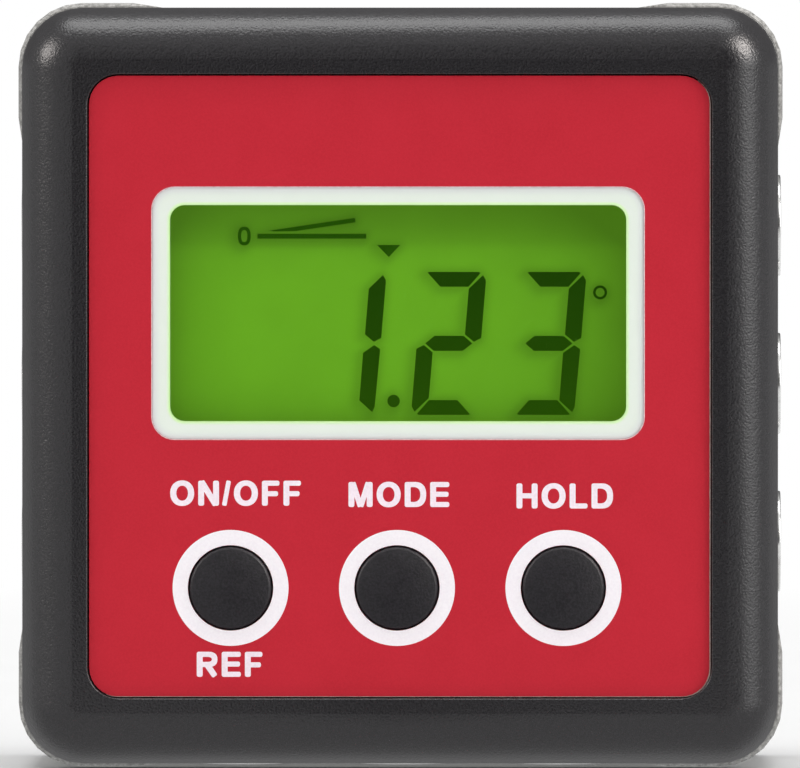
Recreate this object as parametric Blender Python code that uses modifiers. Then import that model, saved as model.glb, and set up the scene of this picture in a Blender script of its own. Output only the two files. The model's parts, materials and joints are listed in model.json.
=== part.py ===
# Digital angle gauge: a square aluminium frame between a moulded front and rear cover.
# The front faces -Y, X runs to the right and Z up; the gauge stands on the bottom pads of its frame.
import math

import bmesh
import bpy
from mathutils import Matrix, Vector

MM = 0.001
GAP = 0.3 * MM
OVERSHOOT = 1.0 * MM

# Two AAA cells and their bay set the width of the frame
CELL_RADIUS = 5.25 * MM
CELL_LENGTH = 44.5 * MM
CELL_NUB_RADIUS = 1.9 * MM
CELL_NUB_LENGTH = 1.0 * MM
CELL_SPACING = 11.0 * MM
CELL_SIDE_ROOM = 0.45 * MM
SPRING_LENGTH = 3.0 * MM
SPRING_WIRE_RADIUS = 0.22 * MM
CONTACT_THICKNESS = 0.4 * MM
CONTACT_WIDTH = 8.0 * MM
TAIL_WIDTH = 2.4 * MM
BAY_WALL = 1.2 * MM
BAY_ROOM = 0.4 * MM
BAY_LENGTH = CELL_LENGTH + SPRING_LENGTH + 2 * CONTACT_THICKNESS + 5 * GAP
BAY_HEIGHT = CELL_SPACING + 2 * CELL_RADIUS + 2 * CELL_SIDE_ROOM

# Frame: a square ring whose four corners are measuring pads
FRAME_WALL = 3.5 * MM
FRAME_SIZE = BAY_LENGTH + 2 * (BAY_WALL + BAY_ROOM + FRAME_WALL)
FRAME_DEPTH = 18.6 * MM
FRAME_CORNER = 5.0 * MM
FRAME_INNER_CORNER = 1.5 * MM
FRAME_EDGE = 0.25 * MM
PAD_LENGTH = 9.0 * MM
PAD_RAMP = 3.2 * MM
RELIEF_DEPTH = 0.5 * MM
REBATE_DEPTH = 1.3 * MM
LUG_SIZE = 7.6 * MM
LUG_ROUND = 2.0 * MM

# Magnets let into the left, right and bottom faces of the frame
MAGNET_RADIUS = 4.0 * MM
MAGNET_THICKNESS = 2.0 * MM
MAGNET_PITCH = 12.5 * MM
MAGNET_BELOW_PAD = 0.05 * MM
MAGNETS_PER_SIDE = 3

# Covers: the frame's pads stand proud of them
DEPTH = 33.0 * MM
PAD_PROUD = 0.4 * MM
COVER_SIZE = FRAME_SIZE - 2 * PAD_PROUD
COVER_CORNER = 4.75 * MM
COVER_WALL = 2.5 * MM
EDGE_ROUND = 4.0 * MM
TONGUE_WALL = 1.1 * MM
FACE_WALL = 2.0 * MM
REAR_WALL = 1.8 * MM

# Printed face label in its recess
RIM_WIDTH = 5.35 * MM
LABEL_SIZE = COVER_SIZE - 2 * RIM_WIDTH
LABEL_CORNER = 2.3 * MM
LABEL_THICKNESS = 0.25 * MM
LABEL_BELOW_RIM = 0.55 * MM
LABEL_CLEARANCE = 0.12 * MM

# Display: the window lies between the bare top band and the key band of the label
WINDOW_MARGIN = 5.05 * MM
TOP_BAND = 8.72 * MM
KEY_BAND = 20.13 * MM
WINDOW_WIDTH = LABEL_SIZE - 2 * WINDOW_MARGIN
WINDOW_HEIGHT = LABEL_SIZE - TOP_BAND - KEY_BAND
WINDOW_CORNER = 1.75 * MM
DISPLAY_SHIFT = -0.12 * MM
SURROUND_BORDER = 1.375 * MM
SURROUND_OVERLAP = 0.6 * MM
VIEW_WIDTH = WINDOW_WIDTH - 2 * SURROUND_BORDER
VIEW_HEIGHT = WINDOW_HEIGHT - 2 * SURROUND_BORDER
VIEW_CORNER = 1.15 * MM
LIP_THICKNESS = 0.8 * MM
LENS_OVERLAP = 1.0 * MM
LENS_THICKNESS = 0.8 * MM
HOLDER_WALL = 1.0 * MM
HOLDER_FLOOR = 0.9 * MM
CELL_OVERLAP = 1.5 * MM
CELL_GLASS = 0.8 * MM
CELL_LEDGE = 2.2 * MM
POLARIZER = 0.2 * MM
GUIDE_THICKNESS = 1.5 * MM
LED_LENGTH = 3.0 * MM
LED_HEIGHT = 1.2 * MM
LED_SPACING = 16.0 * MM
STRIP_INSET = 0.8 * MM
STRIP_HEIGHT = 1.4 * MM

# Keys, their domes and the switches under them
KEY_NAMES = ("on_off", "mode", "hold")
KEY_PITCH = 13.0 * MM
KEY_RISE = 8.5 * MM
KEY_SHIFT = -0.2 * MM
KEY_HOLE_RADIUS = 3.34 * MM
KEY_CLEARANCE = 0.1 * MM
KEY_PROUD = 0.5 * MM
KEY_DOME = 0.25 * MM
KEY_SHOULDER_DROP = 0.055 * MM
KEY_EDGE = 0.35 * MM
KEY_EDGE_START = 75.0
KEY_FLANGE_OVERLAP = 0.8 * MM
KEY_FLANGE_THICKNESS = 0.8 * MM
KEY_STEM_RADIUS = 1.5 * MM
SWITCH_SIZE = 5.2 * MM
SWITCH_HEIGHT = 1.9 * MM
PLUNGER_RADIUS = 1.2 * MM
PLUNGER_PROUD = 0.8 * MM
PLUNGER_SUNK = 0.5 * MM
PLUNGER_WELL = 1.3 * MM

# Main board and what is soldered on it
BOARD_ROOM = 0.5 * MM
BOARD_SIZE = FRAME_SIZE - 2 * (FRAME_WALL + BOARD_ROOM)
BOARD_THICKNESS = 1.6 * MM
BOARD_CORNER = 1.0 * MM
CHIP_SIZE = 9.0 * MM
CHIP_THICKNESS = 1.4 * MM
SENSOR_SIZE = 5.0 * MM
SENSOR_THICKNESS = 1.5 * MM

# Screws: the same radius and head for all twelve
SCREW_RADIUS = 1.0 * MM
SCREW_HOLE_RADIUS = 1.3 * MM
SCREW_HEAD_RADIUS = 1.8 * MM
SCREW_HEAD_HEIGHT = 1.2 * MM
SCREW_INSET = 7.9 * MM
FRONT_SCREW_BITE = 3.8 * MM
CASE_SCREW_BITE = 4.5 * MM
BOARD_SCREW_BITE = 3.6 * MM
BOSS_RADIUS = 2.1 * MM
FRONT_POST_RADIUS = 2.4 * MM
REAR_POST_RADIUS = 3.2 * MM
COUNTERBORE_DEPTH = 3.0 * MM

# Battery door: it leaves a ledge of the rear wall over each edge of the bay
DOOR_END_LEDGE = 1.7 * MM
DOOR_SIDE_LEDGE = 0.6 * MM
DOOR_WIDTH = BAY_LENGTH - 2 * DOOR_END_LEDGE
DOOR_HEIGHT = BAY_HEIGHT - 2 * DOOR_SIDE_LEDGE
DOOR_CORNER = 0.8 * MM
DOOR_THICKNESS = 1.5 * MM
DOOR_TAB_REACH = 1.1 * MM
DOOR_TAB_THICKNESS = 0.8 * MM
DOOR_TAB_WIDTH = 1.3 * MM
DOOR_NECK = 1.0 * MM
LATCH_WIDTH = 8.0 * MM
LATCH_SLOT = 0.8 * MM
LATCH_LENGTH = 5.0 * MM
LATCH_NIB = 0.15 * MM
FINGER_RADIUS = 3.6 * MM
FINGER_DEPTH = 0.9 * MM

# Depths of the main planes, front to back
FRONT = -DEPTH / 2
REAR = DEPTH / 2
CENTRE_Z = FRAME_SIZE / 2
FRAME_FRONT = -FRAME_DEPTH / 2
FRAME_REAR = FRAME_DEPTH / 2
LUG_END = FRAME_DEPTH / 2 - REBATE_DEPTH
TONGUE_END = LUG_END + GAP
LABEL_FRONT = FRONT + LABEL_BELOW_RIM
LABEL_BACK = LABEL_FRONT + LABEL_THICKNESS
RECESS_FLOOR = LABEL_BACK + GAP
FACE_BACK = RECESS_FLOOR + FACE_WALL
REAR_WALL_FRONT = REAR - REAR_WALL

# The display stack: each layer lies one gap behind the layer in front of it
LIP_FRONT = LABEL_BACK + GAP
LIP_BACK = LIP_FRONT + LIP_THICKNESS
LENS_FRONT = LIP_BACK + GAP
LENS_BACK = LENS_FRONT + LENS_THICKNESS
FRONT_POLARIZER = LENS_BACK + GAP
HOLDER_FRONT = FACE_BACK + GAP
HOLDER_CAVITY = max(HOLDER_FRONT + HOLDER_FLOOR, FRONT_POLARIZER + POLARIZER)
FRONT_GLASS = HOLDER_CAVITY + GAP
FRONT_GLASS_BACK = FRONT_GLASS + CELL_GLASS
REAR_GLASS = FRONT_GLASS_BACK + GAP
REAR_POLARIZER = REAR_GLASS + CELL_GLASS + GAP
GUIDE_FRONT = REAR_POLARIZER + POLARIZER + GAP
GUIDE_BACK = GUIDE_FRONT + GUIDE_THICKNESS
BOARD_FRONT = GUIDE_BACK + GAP
BOARD_BACK = BOARD_FRONT + BOARD_THICKNESS

# Heights and places of the display and the keys
LABEL_BOTTOM = CENTRE_Z - LABEL_SIZE / 2
WINDOW_Z = LABEL_BOTTOM + KEY_BAND + WINDOW_HEIGHT / 2
KEY_Z = LABEL_BOTTOM + KEY_RISE
CELL_WIDTH = VIEW_WIDTH + 2 * CELL_OVERLAP
CELL_HEIGHT = VIEW_HEIGHT + 2 * CELL_OVERLAP
LENS_WIDTH = VIEW_WIDTH + 2 * LENS_OVERLAP
LENS_HEIGHT = VIEW_HEIGHT + 2 * LENS_OVERLAP
LENS_CORNER = VIEW_CORNER + LENS_OVERLAP
STRIP_LENGTH = VIEW_WIDTH - 2 * STRIP_INSET
CELL_BOTTOM = WINDOW_Z - CELL_HEIGHT / 2
CELL_TOP = WINDOW_Z + CELL_HEIGHT / 2
HOLDER_BOTTOM = CELL_BOTTOM - LED_HEIGHT - 2 * GAP
HOLDER_TOP = CELL_TOP + CELL_LEDGE + GAP
HOLDER_WIDTH = CELL_WIDTH + 2 * GAP
HOLDER_BACK = min(GUIDE_BACK, -TONGUE_END)
SURROUND_WIDTH = WINDOW_WIDTH + 2 * SURROUND_OVERLAP
SURROUND_HEIGHT = WINDOW_HEIGHT + 2 * SURROUND_OVERLAP
KEY_FLANGE_RADIUS = KEY_HOLE_RADIUS + KEY_FLANGE_OVERLAP
KEY_FRONT = LABEL_FRONT - KEY_PROUD
KEY_FLANGE_FRONT = FACE_BACK + GAP
SWITCH_BACK = BOARD_FRONT - GAP
SWITCH_FRONT = SWITCH_BACK - SWITCH_HEIGHT
PLUNGER_FRONT = SWITCH_FRONT - PLUNGER_PROUD
KEY_STEM_BACK = PLUNGER_FRONT - GAP

# Fixing places: case and front screws share the lugs, board screws stand beside the display
LUG_X = FRAME_SIZE / 2 - SCREW_INSET
LUG_PLACES = [(sx * LUG_X, CENTRE_Z + sz * LUG_X) for sz in (-1, 1) for sx in (-1, 1)]
BOARD_BOSS_GAP = 0.6 * MM
LOWER_BOSS_INSET = 5.5 * MM
LOWER_BOSS_X = BOARD_SIZE / 2 - LOWER_BOSS_INSET
UPPER_BOSS_X = 11.5 * MM
LOWER_BOSS_Z = HOLDER_BOTTOM - HOLDER_WALL - BOARD_BOSS_GAP - BOSS_RADIUS
UPPER_BOSS_Z = HOLDER_TOP + HOLDER_WALL + BOARD_BOSS_GAP + BOSS_RADIUS
BOARD_PLACES = [(-LOWER_BOSS_X, LOWER_BOSS_Z), (LOWER_BOSS_X, LOWER_BOSS_Z),
                (-UPPER_BOSS_X, UPPER_BOSS_Z), (UPPER_BOSS_X, UPPER_BOSS_Z)]

# Battery bay, measured from the rear wall forwards and from the door opening outwards
OPENING_WIDTH = DOOR_WIDTH + 2 * GAP
OPENING_HEIGHT = DOOR_HEIGHT + 2 * GAP
CELL_Y = REAR_WALL_FRONT - CELL_SIDE_ROOM - CELL_RADIUS
BAY_FLOOR = CELL_Y - CELL_RADIUS - GAP
BAY_FRONT = BAY_FLOOR - BAY_WALL
CONTACT_FACE = BAY_LENGTH / 2 - GAP - CONTACT_THICKNESS
UPPER_CELL_Z = CENTRE_Z + CELL_SPACING / 2
LOWER_CELL_Z = CENTRE_Z - CELL_SPACING / 2
HINGE_X = -DOOR_WIDTH / 2 - GAP / 2
DOOR_FRONT = REAR - DOOR_THICKNESS
TAB_BACK = REAR_WALL_FRONT - GAP
TAB_FRONT = TAB_BACK - DOOR_TAB_THICKNESS


def new_collection(name):
    group = bpy.data.collections.new(name)
    bpy.context.scene.collection.children.link(group)
    return group


def clear_scene():
    for item in list(bpy.data.objects):
        bpy.data.objects.remove(item, do_unlink=True)


clear_scene()
PARTS = new_collection("digital_angle_gauge")
TOOLS = new_collection("cutters_and_unions")


def material(name, red, green, blue, roughness, metallic=0.0):
    finish = bpy.data.materials.new(name)
    finish.use_nodes = True
    shader = finish.node_tree.nodes["Principled BSDF"]
    shader.inputs["Base Color"].default_value = (red, green, blue, 1.0)
    shader.inputs["Roughness"].default_value = roughness
    shader.inputs["Metallic"].default_value = metallic
    finish.diffuse_color = (red, green, blue, 1.0)
    return finish


CHARCOAL = material("charcoal_plastic", 0.030, 0.029, 0.030, 0.45)
KEY_BLACK = material("key_plastic", 0.027, 0.025, 0.029, 0.60)
ALUMINIUM = material("cast_aluminium", 0.55, 0.55, 0.54, 0.40, 1.0)
LABEL_RED = material("label_red", 0.54, 0.026, 0.042, 0.50)
WHITE_MOULDING = material("white_moulding", 0.74, 0.78, 0.74, 0.35)
CLEAR = material("clear_acrylic", 0.85, 0.88, 0.86, 0.08)
GLASS = material("display_glass", 0.20, 0.45, 0.08, 0.10)
FILM = material("polarizer_film", 0.15, 0.22, 0.12, 0.25)
GUIDE = material("light_guide", 0.35, 0.65, 0.15, 0.30)
ELASTOMER = material("elastomer", 0.30, 0.12, 0.12, 0.70)
BOARD_GREEN = material("circuit_board", 0.02, 0.14, 0.05, 0.45)
CHIP_BLACK = material("chip_black", 0.02, 0.02, 0.02, 0.50)
STEEL = material("steel", 0.52, 0.52, 0.53, 0.30, 1.0)
NICKEL = material("nickel_plate", 0.60, 0.58, 0.54, 0.25, 1.0)
MAGNET = material("magnet_nickel", 0.62, 0.62, 0.62, 0.22, 1.0)
CELL_SLEEVE = material("cell_sleeve", 0.06, 0.10, 0.20, 0.35)


def finish_object(name, mesh, place, finish, group):
    """Turn a bmesh into an object of the given collection; tools are kept out of the render"""
    data = bpy.data.meshes.new(name)
    bmesh.ops.recalc_face_normals(mesh, faces=mesh.faces)
    mesh.to_mesh(data)
    mesh.free()
    item = bpy.data.objects.new(name, data)
    item.location = place
    group.objects.link(item)
    if finish:
        data.materials.append(finish)
        data.shade_smooth()
        data.set_sharp_from_angle(angle=math.radians(35))
    else:
        item.hide_render = True
        item.display_type = "WIRE"
    return item


def add_part(name, mesh, place, finish):
    return finish_object(name, mesh, place, finish, PARTS)


def add_tool(name, mesh, place):
    return finish_object(name, mesh, place, None, TOOLS)


def cube(width, depth, height):
    mesh = bmesh.new()
    bmesh.ops.create_cube(mesh, size=1.0, matrix=Matrix.Diagonal((width, depth, height, 1.0)))
    return mesh


def block(width, height, front, back, corner=0.0, steps=6, end_round=None, round_steps=6):
    """A bmesh block along Y about its own middle, its long edges rounded to the corner radius.

    end_round is (sign, radius) and rounds the rim of the end on that side of Y.
    """
    mesh = cube(width, back - front, height)
    if corner > 0:
        long_edges = [e for e in mesh.edges if abs(e.verts[0].co.y - e.verts[1].co.y) > 0.5 * (back - front)]
        bmesh.ops.bevel(mesh, geom=long_edges, offset=corner, segments=steps, profile=0.5, affect="EDGES")
    if end_round:
        sign, radius = end_round
        end = sign * (back - front) / 2
        rim = [e for e in mesh.edges if all(abs(v.co.y - end) < 1e-7 for v in e.verts)]
        bmesh.ops.bevel(mesh, geom=rim, offset=radius, segments=round_steps, profile=0.5, affect="EDGES")
    return mesh


def middle(front, back, x=0.0, z=CENTRE_Z):
    return Vector((x, (front + back) / 2, z))


def rods(radius, front, back, places, steps=20):
    """Cylinders along Y, one at each (x, z), in one bmesh placed in world space"""
    mesh = bmesh.new()
    along_y = Matrix.Rotation(math.radians(-90), 4, "X")
    for x, z in places:
        place = Matrix.Translation(middle(front, back, x, z)) @ along_y
        bmesh.ops.create_cone(mesh, cap_ends=True, segments=steps, radius1=radius, radius2=radius,
                              depth=back - front, matrix=place)
    return mesh


def combine(target, operation, tool):
    change = target.modifiers.new(f"{operation.lower()}_{tool.name}", "BOOLEAN")
    change.operation = operation
    change.object = tool


def cut(target, *tools):
    for tool in tools:
        combine(target, "DIFFERENCE", tool)


def fuse(target, *tools):
    for tool in tools:
        combine(target, "UNION", tool)


def turned(name, profile, finish, steps, place, rotation=(0.0, 0.0, 0.0)):
    """A turned piece: the (radius, height) profile runs down from the axis to the axis"""
    data = bpy.data.meshes.new(name)
    points = [(radius, 0.0, height) for radius, height in profile]
    data.from_pydata(points, [(i, i + 1) for i in range(len(points) - 1)], [])
    data.materials.append(finish)
    item = bpy.data.objects.new(name, data)
    item.location = place
    item.rotation_euler = rotation
    PARTS.objects.link(item)
    spin = item.modifiers.new("turn", "SCREW")
    spin.axis = "Z"
    spin.steps = steps
    spin.render_steps = steps
    spin.use_merge_vertices = True
    spin.merge_threshold = 1e-6
    spin.use_smooth_shade = True
    return item


def arc(centre_radius, centre_height, radius, start, end, steps):
    """Profile points on an arc; angles in degrees from the +radius direction"""
    angles = [math.radians(start + (end - start) * i / steps) for i in range(steps + 1)]
    return [(centre_radius + radius * math.cos(a), centre_height + radius * math.sin(a)) for a in angles]


FACING_FRONT = (math.radians(90), 0.0, 0.0)
FACING_REAR = (math.radians(-90), 0.0, 0.0)


def make_frame():
    """The measuring frame: a ring with end rebates, corner lugs, relieved sides and magnet pockets"""
    ring = block(FRAME_SIZE, FRAME_SIZE, FRAME_FRONT, FRAME_REAR, FRAME_CORNER, 6)
    rims = [e for e in ring.edges if abs(abs(e.verts[0].co.y + e.verts[1].co.y) - FRAME_DEPTH) < 1e-7]
    bmesh.ops.bevel(ring, geom=rims, offset=FRAME_EDGE, segments=1, affect="EDGES")
    frame = add_part("body_frame", ring, middle(FRAME_FRONT, FRAME_REAR), ALUMINIUM)

    inner = FRAME_SIZE - 2 * FRAME_WALL
    hole = block(inner, inner, FRAME_FRONT - OVERSHOOT, FRAME_REAR + OVERSHOOT, FRAME_INNER_CORNER, 3)
    cut(frame, add_tool("frame_bore", hole, middle(FRAME_FRONT, FRAME_REAR)))

    lug_reach = LUG_SIZE + LUG_ROUND
    lug_centre = FRAME_SIZE / 2 - FRAME_WALL + LUG_ROUND - lug_reach / 2
    for index, (x, z) in enumerate(LUG_PLACES):
        lug = block(lug_reach, lug_reach, -LUG_END, LUG_END, LUG_ROUND, 3)
        side = math.copysign(lug_centre, x)
        height = CENTRE_Z + math.copysign(lug_centre, z - CENTRE_Z)
        fuse(frame, add_tool(f"frame_lug_{index + 1}", lug, Vector((side, 0.0, height))))

    rebate = COVER_SIZE - 2 * COVER_WALL + 2 * (TONGUE_WALL + GAP)
    rebate_corner = COVER_CORNER - COVER_WALL + TONGUE_WALL + GAP
    for name, front, back in (("front", FRAME_FRONT - OVERSHOOT, -LUG_END),
                              ("rear", LUG_END, FRAME_REAR + OVERSHOOT)):
        pocket = block(rebate, rebate, front, back, rebate_corner, 4)
        cut(frame, add_tool(f"{name}_rebate", pocket, middle(front, back)))

    front, back = -LUG_END - OVERSHOOT, -LUG_END + FRONT_SCREW_BITE + GAP
    front_holes = rods(SCREW_HOLE_RADIUS, front, back, LUG_PLACES, 12)
    front, back = LUG_END - CASE_SCREW_BITE - GAP, LUG_END + OVERSHOOT
    rear_holes = rods(SCREW_HOLE_RADIUS, front, back, LUG_PLACES, 12)
    cut(frame, add_tool("front_tapped_holes", front_holes, Vector()))
    cut(frame, add_tool("rear_tapped_holes", rear_holes, Vector()))

    for index in range(4):
        cut(frame, side_relief(index))
    for side in ("left", "right", "bottom"):
        cut(frame, magnet_pockets(side))
    return frame


def side_relief(index):
    """A shallow tapered channel between two corner pads, turned to the given side of the frame"""
    floor = FRAME_SIZE - 2 * (PAD_LENGTH + PAD_RAMP)
    mouth = FRAME_SIZE - 2 * PAD_LENGTH
    slope = (mouth - floor) / RELIEF_DEPTH
    high = RELIEF_DEPTH + OVERSHOOT
    channel = cube(1.0, FRAME_DEPTH + 2 * OVERSHOOT, high)
    for corner in channel.verts:
        width = floor if corner.co.z < 0 else floor + slope * high
        corner.co.x = math.copysign(width / 2, corner.co.x)
        corner.co.z += FRAME_SIZE / 2 - RELIEF_DEPTH + high / 2
    bmesh.ops.rotate(channel, cent=Vector(), matrix=Matrix.Rotation(math.radians(90 * index), 3, "Y"),
                     verts=channel.verts)
    return add_tool(f"side_relief_{index + 1}", channel, Vector((0.0, 0.0, CENTRE_Z)))


def magnet_places(side):
    """Centres of the outer faces of one side's magnets, and the direction they face"""
    offsets = [(i - (MAGNETS_PER_SIDE - 1) / 2) * MAGNET_PITCH for i in range(MAGNETS_PER_SIDE)]
    face = FRAME_SIZE / 2 - MAGNET_BELOW_PAD
    if side == "bottom":
        return [Vector((offset, 0.0, CENTRE_Z - face)) for offset in offsets], Vector((0.0, 0.0, -1.0))
    sign = -1.0 if side == "left" else 1.0
    return [Vector((sign * face, 0.0, CENTRE_Z + offset)) for offset in offsets], Vector((sign, 0.0, 0.0))


def discs(radius, outer, inner, places, outward, steps=28):
    """Discs that face outwards, from the outer to the inner depth below each place"""
    mesh = bmesh.new()
    turn = outward.to_track_quat("Z", "Y").to_matrix().to_4x4()
    for place in places:
        centre = Matrix.Translation(place - outward * (outer + inner) / 2)
        bmesh.ops.create_cone(mesh, cap_ends=True, segments=steps, radius1=radius, radius2=radius,
                              depth=inner - outer, matrix=centre @ turn)
    return mesh


def magnet_pockets(side):
    places, outward = magnet_places(side)
    pockets = discs(MAGNET_RADIUS + GAP, -OVERSHOOT, MAGNET_THICKNESS + GAP, places, outward)
    return add_tool(f"{side}_magnet_pockets", pockets, Vector())


def make_magnets():
    for side in ("left", "right", "bottom"):
        places, outward = magnet_places(side)
        for number, place in enumerate(places, start=1):
            magnet = discs(MAGNET_RADIUS, 0.0, MAGNET_THICKNESS, [Vector()], outward)
            add_part(f"magnet_{side}_{number}", magnet, place, MAGNET)


def cover_shell(name, face, sign, face_back):
    """A moulded cover: rounded outside, tongue into the frame, hollow inside.

    sign is -1 for the front cover and +1 for the rear; face is its outer plane, face_back its inner one.
    """
    edge = sign * (FRAME_DEPTH / 2 + GAP)
    tongue_end = sign * TONGUE_END
    front, back = sorted((face, edge))
    outer = block(COVER_SIZE, COVER_SIZE, front, back, COVER_CORNER, 7, (sign, EDGE_ROUND), 7)
    shell = add_part(name, outer, middle(front, back), CHARCOAL)

    inside = COVER_SIZE - 2 * COVER_WALL
    inside_corner = COVER_CORNER - COVER_WALL
    tongue = inside + 2 * TONGUE_WALL
    front, back = sorted((edge + sign * OVERSHOOT, tongue_end))
    ring = block(tongue, tongue, front, back, inside_corner + TONGUE_WALL, 4)
    fuse(shell, add_tool(f"{name}_tongue", ring, middle(front, back)))

    front, back = sorted((face_back, tongue_end - sign * OVERSHOOT))
    inner_round = min(EDGE_ROUND - COVER_WALL, 0.9 * inside_corner)
    hollow = block(inside, inside, front, back, inside_corner, 4, (sign, inner_round), 3)
    cut(shell, add_tool(f"{name}_hollow", hollow, middle(front, back)))
    return shell


def make_front_cover():
    cover = cover_shell("front_cover", FRONT, -1, FACE_BACK)
    root = FACE_BACK - FACE_WALL / 2
    pillars = rods(BOSS_RADIUS, root, GUIDE_BACK, BOARD_PLACES, 16)
    fuse(cover, add_tool("board_pillars", pillars, Vector()))
    posts = rods(FRONT_POST_RADIUS, root, -TONGUE_END, LUG_PLACES, 16)
    fuse(cover, add_tool("corner_posts", posts, Vector()))

    recess_size = LABEL_SIZE + 2 * LABEL_CLEARANCE
    recess_corner = LABEL_CORNER + LABEL_CLEARANCE
    recess = block(recess_size, recess_size, FRONT - OVERSHOOT, RECESS_FLOOR, recess_corner, 8)
    cut(cover, add_tool("label_recess", recess, middle(FRONT - OVERSHOOT, RECESS_FLOOR)))

    front, back = RECESS_FLOOR - OVERSHOOT, FACE_BACK + OVERSHOOT
    window = block(SURROUND_WIDTH + 2 * GAP, SURROUND_HEIGHT + 2 * GAP, front, back,
                   WINDOW_CORNER + SURROUND_OVERLAP + GAP, 4)
    cut(cover, add_tool("window_opening", window, middle(front, back, DISPLAY_SHIFT, WINDOW_Z)))
    cut(cover, add_tool("key_openings", rods(KEY_HOLE_RADIUS, front, back, key_places(), 32), Vector()))

    screw_ways = rods(SCREW_HOLE_RADIUS, front, -TONGUE_END + OVERSHOOT, LUG_PLACES, 12)
    cut(cover, add_tool("front_screw_ways", screw_ways, Vector()))
    front, back = RECESS_FLOOR - OVERSHOOT, RECESS_FLOOR + SCREW_HEAD_HEIGHT
    sinks = rods(SCREW_HEAD_RADIUS + GAP, front, back, LUG_PLACES, 16)
    cut(cover, add_tool("front_screw_sinks", sinks, Vector()))
    front, back = GUIDE_BACK - BOARD_SCREW_BITE - GAP, GUIDE_BACK + OVERSHOOT
    bores = rods(SCREW_HOLE_RADIUS, front, back, BOARD_PLACES, 12)
    cut(cover, add_tool("board_pillar_bores", bores, Vector()))
    return cover


def key_places():
    return [(KEY_SHIFT + (i - 1) * KEY_PITCH, KEY_Z) for i in range(len(KEY_NAMES))]


def make_label():
    sheet = block(LABEL_SIZE, LABEL_SIZE, LABEL_FRONT, LABEL_BACK, LABEL_CORNER, 8)
    label = add_part("face_label", sheet, middle(LABEL_FRONT, LABEL_BACK), LABEL_RED)
    front, back = LABEL_FRONT - OVERSHOOT, LABEL_BACK + OVERSHOOT
    window = block(WINDOW_WIDTH, WINDOW_HEIGHT, front, back, WINDOW_CORNER, 6)
    cut(label, add_tool("label_window", window, middle(front, back, DISPLAY_SHIFT, WINDOW_Z)))
    cut(label, add_tool("label_key_holes", rods(KEY_HOLE_RADIUS, front, back, key_places(), 32), Vector()))
    return label


def make_display_surround():
    """White moulding: a lip round the view, and a box behind the face that holds the display stack"""
    root = HOLDER_FRONT + HOLDER_FLOOR / 2
    lip = block(SURROUND_WIDTH, SURROUND_HEIGHT, LIP_FRONT, root, WINDOW_CORNER + SURROUND_OVERLAP, 6)
    place = middle(LIP_FRONT, root, DISPLAY_SHIFT, WINDOW_Z)
    surround = add_part("display_surround", lip, place, WHITE_MOULDING)
    holder_z = (HOLDER_TOP + HOLDER_BOTTOM) / 2
    height = HOLDER_TOP - HOLDER_BOTTOM
    box = block(HOLDER_WIDTH + 2 * HOLDER_WALL, height + 2 * HOLDER_WALL, HOLDER_FRONT, HOLDER_BACK,
                HOLDER_WALL, 3)
    fuse(surround, add_tool("holder_box", box, middle(HOLDER_FRONT, HOLDER_BACK, DISPLAY_SHIFT, holder_z)))
    room = block(HOLDER_WIDTH, height, HOLDER_CAVITY, HOLDER_BACK + OVERSHOOT)
    cut(surround, add_tool("holder_room", room,
                           middle(HOLDER_CAVITY, HOLDER_BACK + OVERSHOOT, DISPLAY_SHIFT, holder_z)))
    seat = block(LENS_WIDTH + 2 * GAP, LENS_HEIGHT + 2 * GAP, LIP_BACK, HOLDER_CAVITY + OVERSHOOT,
                 LENS_CORNER + GAP, 4)
    cut(surround, add_tool("lens_seat", seat,
                           middle(LIP_BACK, HOLDER_CAVITY + OVERSHOOT, DISPLAY_SHIFT, WINDOW_Z)))
    view = block(VIEW_WIDTH, VIEW_HEIGHT, LIP_FRONT - OVERSHOOT, LIP_BACK + OVERSHOOT, VIEW_CORNER, 6)
    cut(surround, add_tool("view_opening", view,
                           middle(LIP_FRONT - OVERSHOOT, LIP_BACK + OVERSHOOT, DISPLAY_SHIFT, WINDOW_Z)))
    return surround


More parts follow.
